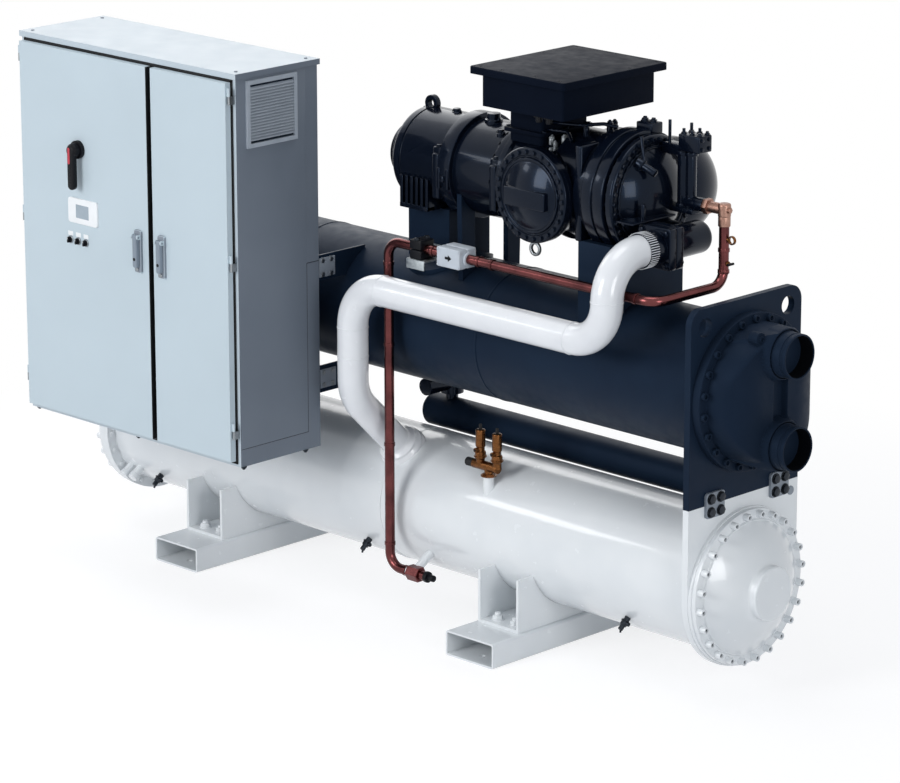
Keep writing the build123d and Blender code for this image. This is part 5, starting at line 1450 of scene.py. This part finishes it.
    def tubes(self) -> Shape:
        """Thin tubes above the body, from the terminal neck to the drum."""
        first = rounded_route([(-905, -70, 2022), (-760, -70, 2034), (-690, -20, 2042), (-640, 0, 2034)], [40, 40])
        second = rounded_route([(-905, -96, 2000), (-800, -96, 2006), (-760, -120, 1980)], [30])
        return joined([pipe(first, 7, 14), pipe(second, 6, 14)])

    def build(self) -> None:
        """Make every piece of the compressor."""
        casting = joined([self.motor_barrel(), self.body(), self.gate(-1), self.gate(1), self.drum_shell(),
                          self.separator_barrel(), self.motor_feet(), self.top_fittings()])
        make_piece("compressor_casting", casting, Finish.BLACK_PAINT,
                   stands_for=("compressor_housing", "separator_dome"))
        for name, side in (("gate_cover_front", -1), ("gate_cover_back", 1)):
            make_piece(f"{name}_dressed", self.gate_cover(side), Finish.BLACK_PAINT, stands_for=(name,))
        make_piece("drum_cover_dressed", self.drum_cover() + self.cover_port(), Finish.BLACK_PAINT,
                   stands_for=("drum_cover",))
        make_piece("motor_cover_dressed", self.motor_end(), Finish.BLACK_PAINT, stands_for=("motor_cover",))
        make_piece("compressor_bolts", self.bolts(), Finish.BLACK_PAINT)
        make_piece("body_fittings", self.body_fittings(), Finish.STEEL)
        make_piece("compressor_tubes", self.tubes(), Finish.BLACK_PAINT)


@dataclass
class Manifold:
    """Oil manifold beside the drum cover: foot, two columns, head with studs, and the fitting on it."""

    columns_x: tuple[float, float] = (-367.0, -333.0)
    y: float = 62.0
    head_x: tuple[float, float] = (-366.0, -264.0)
    head_y: tuple[float, float] = (24.0, 96.0)
    head_z: tuple[float, float] = (1985.0, 2048.0)
    fitting: tuple[float, float, float] = (-170.0, 62.0, 1790.0)

    def casting(self) -> Shape:
        """Foot on the tray, columns of two sizes with collars, the head, and the arms to the cover."""
        y = self.y
        shapes = [block((-462, -300), (y - 32, y + 32), (1753, 1772), 3),
                  block(self.head_x, self.head_y, self.head_z, 5),
                  block((-462, self.head_x[0] + 8), (y - 24, y + 24), (1962, 2003), 5),
                  rod((-352, y, 1790), (-263, y, 1790), 26, 4)]
        for x, radius in zip(self.columns_x, (25.0, 20.0)):
            shapes.append(rod((x, y, 1768), (x, y, 1990), radius, 2))
            shapes.append(hoop((x, y, 1778.0), Z_AXIS, radius, 12, 5, 48, 2))
            shapes.append(hoop((x, y, 1972.0), Z_AXIS, radius, 14, 5, 48, 2))
        return joined(shapes)

    def studs(self) -> Shape:
        """Studs with nuts on the head, and bolts on its right face."""
        top = self.head_z[1]
        shapes = []
        for x, y, tall in ((-352.0, 40.0, 20.0), (-352.0, 82.0, 34.0), (-312.0, 82.0, 20.0), (-276.0, 82.0, 14.0),
                           (-312.0, 40.0, 16.0), (-276.0, 40.0, 12.0)):
            shapes.append(rod((x, y, top - 4), (x, y, top + tall), 6, 2, 20))
            shapes.append(fastener(Fastener.NUT, 12).at((x, y, top - 0.5)))
        side = np.array([[self.head_x[1], y, z] for y in (40.0, 80.0) for z in (2000.0, 2034.0)])
        shapes.append(fastener(Fastener.HEX, 9).copies(side, X_AXIS))
        shapes.append(rod((-420, 40, 1998), (-420, 40, 2090), 6, 2, 20))
        return joined(shapes)

    def angle(self) -> Shape:
        """Angle fitting: a hex nut on the manifold, a short arm, an elbow body and a screwed outlet."""
        x, y, z = self.fitting
        nut = turned([(0, 0), (0, 29), (3, 31), (20, 31), (23, 29), (23, 0)], 6).at((-262.0, y, z), X_AXIS)
        arm = rod((-262, y, z), (x, y, z), 21, 4)
        elbow = turned(softened([(0, 0, 0), (0, 24, 5), (50, 24, 9), (50, 0, 0)], 5), 40).at((x, y, z - 26), Z_AXIS)
        outlet = rod((x, y, z - 62), (x, y, z - 20), 23, 3)
        screw = fastener(Fastener.HEX, 13).at((x + 22.0, y, z), X_AXIS)
        return joined([nut, arm, elbow, outlet, screw])

    def build(self) -> None:
        """Make the manifold, its studs and the angle fitting."""
        make_piece("manifold_dressed", self.casting(), Finish.BLACK_PAINT, stands_for=("manifold",))
        make_piece("manifold_studs", self.studs(), Finish.BLACK_PAINT)
        make_piece("angle_fitting_dressed", self.angle(), Finish.PALE_BRONZE, stands_for=("angle_fitting",))


@dataclass
class TerminalBox:
    """Motor terminal box: riser neck, box, screwed lid, glands and small parts under it."""

    centre: tuple[float, float] = (-890.0, 0.0)
    low: float = 2085.0
    top: float = 2208.0
    lid_top: float = 2236.0

    def build(self) -> None:
        """Make the box, its lid with screws, the neck with its flange, and the fittings under it."""
        x, y = self.centre
        neck_x, neck_low = x - 100, 1940.0
        flange = rounded_rectangle(206, 286, 18, 5)
        box = slab(rounded_rectangle(412, 500, 10, 4), self.top - self.low, 4).at((x, y, self.low), Z_AXIS, Y_AXIS)
        neck = slab(rounded_rectangle(170, 250, 14, 5), self.low - neck_low, 1)
        neck = neck.at((neck_x, y, neck_low), Z_AXIS, Y_AXIS)
        collar = slab(flange, 14, 3, True).at((neck_x, y, 2068.0), Z_AXIS, Y_AXIS)
        pad = slab(flange, 16, 3, True).at((neck_x, y, 1976.0), Z_AXIS, Y_AXIS)
        make_piece("terminal_box_dressed", joined([box, neck, collar, pad]), Finish.BLACK_SHEET,
                   stands_for=("terminal_box",))
        lid = slab(rounded_rectangle(482, 566, 14, 5), self.lid_top - self.top, 5, False, 4)
        lid = lid.at((x, y, self.top), Z_AXIS, Y_AXIS)
        make_piece("terminal_lid_dressed", lid, Finish.BLACK_SHEET, stands_for=("terminal_lid",))
        places = np.array([(-1090, -262), (-983, -262), (-811, -262), (-690, -262), (-1108, -95), (-1108, 95),
                           (-672, -95), (-672, 95), (-1090, 262), (-934, 262), (-771, 262), (-690, 262)], float)
        places = np.column_stack((places, np.full(len(places), self.lid_top - 3)))
        make_piece("terminal_lid_screws", fastener(Fastener.PAN, 7, 3).copies(places, Z_AXIS), Finish.STEEL)
        glands = []
        for gx, gy in ((-800.0, -200.0), (-850.0, -200.0)):
            glands.append(fastener(Fastener.NUT, 24, 14).at((gx, gy, self.low), -Z_AXIS))
            glands.append(rod((gx, gy, self.low - 10), (gx, gy, self.low - 34), 12, 4))
        make_piece("terminal_glands", joined(glands), Finish.BLACK_PLASTIC)
        studs = np.array([[neck_x + a * 92, y + b, 1992.0] for a in (-1, 1)
                          for b in (-120.0, -60.0, 0.0, 60.0, 120.0)])
        make_piece("neck_bolts", fastener(Fastener.HEX, 10).copies(studs, Z_AXIS), Finish.BLACK_PAINT)


@dataclass
class SuctionPipe:
    """Insulated suction pipe with its boot, seams and collar, and the valve that it feeds."""

    radius: float = 60.0
    route: tuple[tuple[float, float, float], ...] = (
        (-1637.0, -126.0, 616.0), (-1637.0, -400.0, 890.0), (-1637.0, -400.0, 1336.0), (-321.0, -400.0, 1336.0),
        (-321.0, -400.0, 1660.0), (-321.0, -230.0, 1660.0))
    bends: tuple[float, ...] = (165.0, 165.0, 161.0, 160.0)
    step: float = 16.0
    seam_width: float = 5.0
    seam_rise: float = 1.6
    pleats_count: int = 46
    pleats_r: float = 66.4
    valve_z: float = 1660.0

    def seam(self, centre: tuple[float, float, float], axis: np.ndarray) -> Shape:
        """Lap of the jacket: a thin raised ring round the pipe."""
        return hoop(centre, axis, self.radius, self.seam_width, self.seam_rise, 64, 0.7)

    def boot(self) -> Shape:
        """Creased boot where the jacket meets the vessel: a bulged collar whose radius falls in three folds."""
        slant = np.array([0.0, -1.0, 1.0]) / math.sqrt(2)
        profile = softened([(0, 0, 0), (0, 95, 0), (34, 96, 8), (44, 91, 6), (56, 93, 8), (72, 80, 8), (80, 82, 6),
                            (92, 63, 5), (100, 61, 2), (100, 0, 0)], 5)
        return turned(profile, 96).at((-1637.0, -107.0, 597.0), slant)

    def pleats(self) -> Shape:
        """Pleated end of the jacket on the black collar: thin ribs along the pipe, spaced round it."""
        x, z = self.route[-1][0], self.valve_z
        count, radius = self.pleats_count, self.pleats_r
        angle = np.arange(count) * 2 * math.pi / count
        rib = slab(rounded_rectangle(3.0, 2.6, 1.0), 44.0, 0.8, True).at(np.zeros(3), Y_AXIS, Z_AXIS)
        cosine, sine = np.cos(angle), np.sin(angle)
        zero = np.zeros(count)
        turn = np.stack((np.stack((cosine, zero, -sine), -1), np.stack((zero, zero + 1, zero), -1),
                         np.stack((sine, zero, cosine), -1)), 1)
        points = rib.points[None] @ turn + np.stack((x + sine * radius, zero - 234, z + cosine * radius), -1)[:, None]
        size = len(rib.points)
        steps = np.arange(count)[:, None, None] * size
        faces = [(face[None] + steps).reshape(-1, face.shape[1]) for face in rib.faces]
        return Shape(points.reshape(-1, 3), faces).outward()

    def valve(self) -> None:
        """Collar, two bolted flanges, barrel with a rounded end, and the neck to the drum."""
        x, z = self.route[-1][0], self.valve_z
        collar = turned(softened([(0, 0, 0), (0, 65, 3), (81, 65, 1), (81, 0, 0)], 3), 64).at((x, -230.0, z), Y_AXIS)
        plates = [slab(rounded_rectangle(156, 156, 10, 4), 36, 3, True).at((x, y, z), Y_AXIS, Z_AXIS)
                  for y in (-150.0, -111.0)]
        barrel = turned(softened([(0, 0, 0), (0, 62, 1), (187, 62, 26), (187, 0, 0)], 8), 72).at((x, -75.0, z), Y_AXIS)
        gasket = rod((x, -116.0, z), (x, -109.0, z), 60, 0.5)
        neck = rod((-462, 40, z), (x, 40, z), 55, 2, 48)
        make_piece("suction_valve_dressed", joined([collar, *plates, gasket, barrel, neck]), Finish.BLACK_PAINT,
                   stands_for=("suction_valve",))
        places = np.array([[x + a * 59, -150.0, z + b * 59] for a in (-1, 1) for b in (-1, 1)])
        back = places * np.array([1, 0, 1]) + np.array([0, -75.0, 0])
        make_piece("valve_bolts", fastener(Fastener.HEX, 15).copies(places, -Y_AXIS)
                   + fastener(Fastener.NUT, 15).copies(back, Y_AXIS), Finish.BLACK_PAINT)
        make_piece("collar_pleats", self.pleats(), Finish.JACKET)

    def build(self) -> None:
        """Make the jacket, its boot and seams, and the valve's small parts."""
        path = rounded_route(list(self.route), list(self.bends), 20)
        runs = [np.linspace(start, end, max(2, int(np.linalg.norm(end - start) / self.step)), endpoint=False)
                for start, end in zip(path, path[1:])]
        dense = np.concatenate(runs + [path[-1:]])
        jacket = pipe(dense, self.radius, 64)
        seams = [self.seam((-1637, -400, z), Z_AXIS) for z in (1050.0, 1165.0)]
        seams += [self.seam((x, -400, 1336), X_AXIS) for x in (-1470.0, -488.0)]
        seams.append(self.seam((-321, -400, 1502.0), Z_AXIS))
        make_piece("suction_jacket", joined([jacket, self.boot()] + seams), Finish.JACKET,
                   stands_for=("suction_pipe",))
        self.valve()


@dataclass
class CopperLine:
    """Parts on the copper liquid line: rings, sight glass, knob, tail, clamp and filter box."""

    y: float = -310.0
    radius: float = 19.0
    left: float = -1531.0
    right: float = -170.0
    riser_y: float = 62.0
    top: float = 1508.0
    low: float = 208.0

    def couplings(self) -> None:
        """Rings on the horizontal run, the long upright run and the riser."""
        rings = [hoop((x, self.y, self.top), X_AXIS, self.radius, 16, 3, 40, 1)
                 for x in (-1290.0, -1050.0, -980.0, -260.0)]
        rings += [hoop((self.left, self.y, z), Z_AXIS, self.radius, 14, 2.4, 40, 1)
                  for z in (1420.0, 1100.0, 700.0, 300.0)]
        rings += [hoop((self.right, self.riser_y, z), Z_AXIS, self.radius, 14, 3, 40, 1) for z in (1560.0, 1640.0)]
        rings.append(hoop((self.left + 90, self.y, self.low), X_AXIS, self.radius, 14, 2.4, 40, 1))
        make_piece("copper_rings", joined(rings), Finish.COPPER)

    def riser_parts(self) -> None:
        """Ring of the sight glass on a short neck, and a small valve with a cross handle."""
        x, y = self.right, self.riser_y
        neck = rod((x, y, 1681), (x + 24, y, 1681), 8, 1, 20)
        ring = loop(6, (12, 1), (17, 3), 3, 40)
        ring = ring.at((x + 38.0, y, 1681.0), -Y_AXIS)
        stem = rod((x, y, 1591), (x + 32, y, 1591), 6, 1, 20) + rod((x + 16, y, 1591), (x + 24, y, 1591), 10, 2, 24)
        make_piece("riser_valve_bodies", joined([neck, ring, stem]), Finish.BRONZE)
        knob = rod((x + 34, y - 16, 1591), (x + 34, y + 16, 1591), 5, 2, 20)
        make_piece("riser_knob", knob, Finish.BLACK_PLASTIC)

    def tail(self) -> None:
        """Copper nut round the lower run, and the black cap with its tip on the run's end."""
        nut = turned([(0, 0), (0, 29), (3, 32), (59, 32), (62, 29), (62, 0)], 6)
        make_piece("stub_nut", nut.at((-1423.0, self.y, self.low), X_AXIS), Finish.COPPER)
        cap = rod((-1336, self.y, self.low), (-1318, self.y, self.low), 22, 4)
        cap = cap + rod((-1320, self.y, self.low), (-1290, self.y, self.low), 13, 3)
        make_piece("tail_cap", cap, Finish.BLACK_PLASTIC)

    def clamp(self) -> None:
        """Black clamp halves with two bolts, on a galvanised shelf with a lip and an arm to the column."""
        x, z = -1352.0, self.top
        upper = block((x - 30, x + 30), (self.y - 37, self.y + 37), (z + 1, z + 37), 5)
        lower = block((x - 30, x + 30), (self.y - 37, self.y + 37), (z - 37, z - 1), 5)
        make_piece("clamp_halves", upper + lower, Finish.BLACK_PLASTIC, stands_for=("pipe_clamp",))
        places = np.array([[x, self.y + a * 26, z + 37] for a in (-1, 1)])
        make_piece("clamp_bolts", fastener(Fastener.HEX, 12).copies(places, Z_AXIS), Finish.DARK_STEEL)
        shelf = block((x - 42, x + 52), (self.y - 39, -110), (z - 45, z - 37), 1)
        lip = block((x - 42, x + 52), (self.y - 42, self.y - 37), (z - 74, z - 38), 1)
        arm = block((-1513, x + 30), (-118, -110), (z - 107, z - 38), 1)
        make_piece("clamp_shelf", joined([shelf, lip, arm]), Finish.ZINC)

    def box(self) -> None:
        """Box on the horizontal run: body with screw bosses at its corners, cover seam, arrow and glands."""
        x, z = -1170.0, self.top
        front = self.y - 46
        body = slab(rounded_rectangle(116, 72, 8, 5), 54, 2, True).at((x, front + 61, z), -Y_AXIS, Z_AXIS)
        back = slab(rounded_rectangle(120, 76, 8, 5), 46, 4, True).at((x, front + 92, z), -Y_AXIS, Z_AXIS)
        cover = slab(rounded_rectangle(120, 76, 8, 5), 40, 5, True, 4).at((x, front + 41, z), -Y_AXIS, Z_AXIS)
        corners = np.array([[x + a * 52, front + 1.0, z + b * 30] for a in (-1, 1) for b in (-1, 1)])
        screws = fastener(Fastener.PAN, 5, 2).copies(corners, -Y_AXIS)
        make_piece("actuator_box_dressed", joined([body, back, cover, screws]), Finish.GREY_PLASTIC,
                   stands_for=("actuator_box",))
        shaft = block((x - 14, x + 4), (front - 0.6, front + 0.6), (z - 5, z + 5), 0.3)
        head = slab(np.array([[0.0, -12.0], [17.0, 0.0], [0.0, 12.0]]), 1.2, 0.2)
        arrow = shaft + head.at((x + 2.0, front + 0.6, z), -Y_AXIS, Z_AXIS)
        make_piece("box_arrow", arrow, Finish.BLACK_PLASTIC)
        glands = [rod((x + low, self.y, z), (x + low + 11, self.y, z), 27, 3) for low in (59, -70)]
        make_piece("box_glands", joined(glands), Finish.GREY_PLASTIC)

    def build(self) -> None:
        """Make every piece on the copper line."""
        self.couplings()
        self.riser_parts()
        self.tail()
        self.clamp()
        self.box()


def dress_nodes() -> None:
    """Give every CAD node the finish of its slot; on the cabinet, faces that look up or to the front get a paler copy
    of its paint as painted light, the rest a darker copy as painted shade.
    """
    by_slot = {
        "white_paint": Finish.WHITE_PAINT, "navy_paint": Finish.NAVY_PAINT, "black_gloss_paint": Finish.BLACK_PAINT,
        "door_paint": Finish.DOOR_PAINT, "cabinet_paint": Finish.SHADED_SIDE_PAINT, "grey_plate": Finish.PLATE_PAINT,
        "galvanised_steel": Finish.ZINC, "hinge_steel": Finish.STEEL, "black_plastic": Finish.BLACK_PLASTIC,
        "white_plastic": Finish.WHITE_PLASTIC, "grey_plastic": Finish.GREY_PLASTIC,
        "grille_plastic": Finish.GRILLE_PLASTIC, "white_jacket": Finish.JACKET, "copper": Finish.COPPER,
        "bronze": Finish.BRONZE,
    }
    slots = {entry["node"]: entry["material_slot"] for entry in frame["record"]["subparts"]}
    for name, node in frame["nodes"].items():
        finish = by_slot[slots[name]]
        node.data.materials.clear()
        node.data.materials.append(material_of(finish))
        count = len(node.data.polygons)
        index = np.zeros(count, np.int32)
        if name == "cabinet_body":
            normals = np.empty(count * 3, np.float32)
            node.data.polygons.foreach_get("normal", normals)
            normals = normals.reshape(-1, 3)
            # Painted light: faces that look up or to the front get the paler copy of the cabinet's paint.
            index[(normals[:, 2] > 0.5) | (normals[:, 1] < -0.5)] = 1
            node.data.materials.append(material_of(Finish.LIT_ROOF_PAINT))
        node.data.polygons.foreach_set("material_index", index)


@dataclass(frozen=True)
class Lamp:
    """Rectangular lamp that faces a point: places and sizes in metres in the row frame, power in watts."""

    name: str
    place: tuple[float, float, float]
    aim: tuple[float, float, float]
    watts: float
    width: float
    height: float

    def build(self) -> None:
        """Put the lamp into the scene."""
        lamp = bpy.data.lights.new(self.name, "AREA")
        lamp.shape = "RECTANGLE"
        lamp.size = self.width
        lamp.size_y = self.height
        lamp.energy = self.watts
        piece = bpy.data.objects.new(self.name, lamp)
        bpy.context.scene.collection.objects.link(piece)
        piece.location = self.place
        direction = Vector(self.aim) - Vector(self.place)
        piece.rotation_euler = direction.to_track_quat("-Z", "Y").to_euler()


@dataclass
class Studio:
    """Floor, world, lamps and camera. Lengths are in metres in the row frame."""

    floor_tone: str = "E9EAEC"
    floor_shade: str = "E6E7E9"
    floor_reach: float = 30.0
    shadow_glow: float = 0.74
    shadow_light: tuple[float, float, float, float] = (0.36, 0.36, 0.37, 1)
    shadow_fade: tuple[float, float] = (1.9, 3.6)
    room_tone: str = "E0EAF5"
    room_light: float = 0.34
    lens: float = 167.91
    camera_place: tuple[float, float, float] = (11.1375, -10.986, 5.296)
    camera_aim: tuple[float, float, float] = (0.0678, 0.2112, 0.8462)
    camera_roll: float = math.radians(-0.066)
    lamps: tuple[Lamp, ...] = (
        Lamp("key", (-1.5, -9.6, 4.5), (0.2, 0, 0.9), 470.0, 4.0, 4.6),
        Lamp("top", (0.3, -0.6, 7.5), (0.2, 0, 1.0), 110.0, 4.0, 3.0),
        Lamp("side", (8.6, -2.5, 2.9), (0.5, 0, 0.9), 170.0, 2.6, 3.4),
        Lamp("sky", (-6.4, 2.2, 5.6), (0.2, 0, 1.7), 200.0, 8.0, 4.8),
        Lamp("window", (-5.0, -5.0, 4.6), (0.4, -0.2, 1.8), 30.0, 1.5, 1.0))

    def backdrop_rays(self, tree: bpy.types.NodeTree) -> bpy.types.NodeSocket:
        """One for rays that see the white backdrop: camera, glossy and transmission rays."""
        path = add_node(tree, "ShaderNodeLightPath").outputs
        either = add_node(tree, "ShaderNodeMath", {"operation": "MAXIMUM"},
                          {0: path["Is Camera Ray"], 1: path["Is Glossy Ray"]})
        return add_node(tree, "ShaderNodeMath", {"operation": "MAXIMUM"},
                        {0: either.outputs[0], 1: path["Is Transmission Ray"]}).outputs[0]

    def world(self) -> None:
        """Even pale surroundings that light the unit. The camera, metal and glass see pure white."""
        world = bpy.data.worlds.new("studio")
        bpy.context.scene.world = world
        world.use_nodes = True
        tree = world.node_tree
        tree.nodes.clear()
        seen = add_node(tree, "ShaderNodeBackground", {"Color": (1, 1, 1, 1), "Strength": 1.0})
        light = add_node(tree, "ShaderNodeBackground", {"Color": rgb(self.room_tone), "Strength": self.room_light})
        mix = add_node(tree, "ShaderNodeMixShader", None, {0: self.backdrop_rays(tree), 1: light.outputs[0],
                                                           2: seen.outputs[0]})
        add_node(tree, "ShaderNodeOutputWorld", None, {"Surface": mix.outputs[0]})

    def floor(self) -> None:
        """Wide pale floor: the backdrop's rays see it white except where the unit's shadow falls near it."""
        mesh = bpy.data.meshes.new("floor")
        reach = self.floor_reach
        mesh.from_pydata([(-reach, -reach, 0), (reach, -reach, 0), (reach, reach, 0), (-reach, reach, 0)], [],
                         [(0, 1, 2, 3)])
        piece = bpy.data.objects.new("floor", mesh)
        bpy.context.scene.collection.objects.link(piece)
        material, tree = new_material("studio floor")
        cloud = noise(tree, 900.0, 2.0)
        tone = two_tone(tree, cloud, self.floor_tone, self.floor_shade)
        matt = add_node(tree, "ShaderNodeBsdfDiffuse", None, {"Color": tone})
        glow = add_node(tree, "ShaderNodeEmission", {"Color": (1, 1, 1, 1), "Strength": self.shadow_glow})
        lit = add_node(tree, "ShaderNodeBsdfDiffuse", {"Color": self.shadow_light})
        near = add_node(tree, "ShaderNodeAddShader", None, {0: glow.outputs[0], 1: lit.outputs[0]})
        place = add_node(tree, "ShaderNodeTexCoord").outputs["Object"]
        away = add_node(tree, "ShaderNodeVectorMath", {"operation": "LENGTH"}, {0: place}).outputs["Value"]
        fade = mapped(tree, away, 0.0, 1.0, *self.shadow_fade)
        plain = add_node(tree, "ShaderNodeEmission", {"Color": (1, 1, 1, 1), "Strength": 1.0})
        seen = add_node(tree, "ShaderNodeMixShader", None, {0: fade, 1: near.outputs[0], 2: plain.outputs[0]})
        mix = add_node(tree, "ShaderNodeMixShader", None, {0: self.backdrop_rays(tree), 1: matt.outputs[0],
                                                           2: seen.outputs[0]})
        add_node(tree, "ShaderNodeOutputMaterial", None, {"Surface": mix.outputs[0]})
        mesh.materials.append(material)

    def camera(self) -> None:
        """Camera at the photograph's place and angle."""
        data = bpy.data.cameras.new("camera")
        data.sensor_width = 36.0
        data.lens = self.lens
        data.clip_end = 200.0
        camera = bpy.data.objects.new("camera", data)
        bpy.context.scene.collection.objects.link(camera)
        place, aim = Vector(self.camera_place), Vector(self.camera_aim)
        turn = (aim - place).to_track_quat("-Z", "Y").to_matrix() @ Matrix.Rotation(self.camera_roll, 3, "Z")
        camera.matrix_world = Matrix.Translation(place) @ turn.to_4x4()
        bpy.context.scene.camera = camera

    def build(self) -> None:
        """Set up the light, floor and camera."""
        self.world()
        self.floor()
        self.camera()
        for lamp in self.lamps:
            lamp.build()
        bpy.context.scene.view_settings.view_transform = "Standard"


def main() -> None:
    """Dress the CAD nodes, add every piece, and set up the studio."""
    logging.basicConfig(level=logging.WARNING, format="%(name)s: %(message)s")
    dress_nodes()
    for part in (Evaporator(), Condenser(), Feet(), ReliefGroup(), Compressor(), Manifold(), TerminalBox(),
                 SuctionPipe(), CopperLine(), Cabinet()):
        part.build()
    Studio().build()


if __name__ == "__main__":
    main()
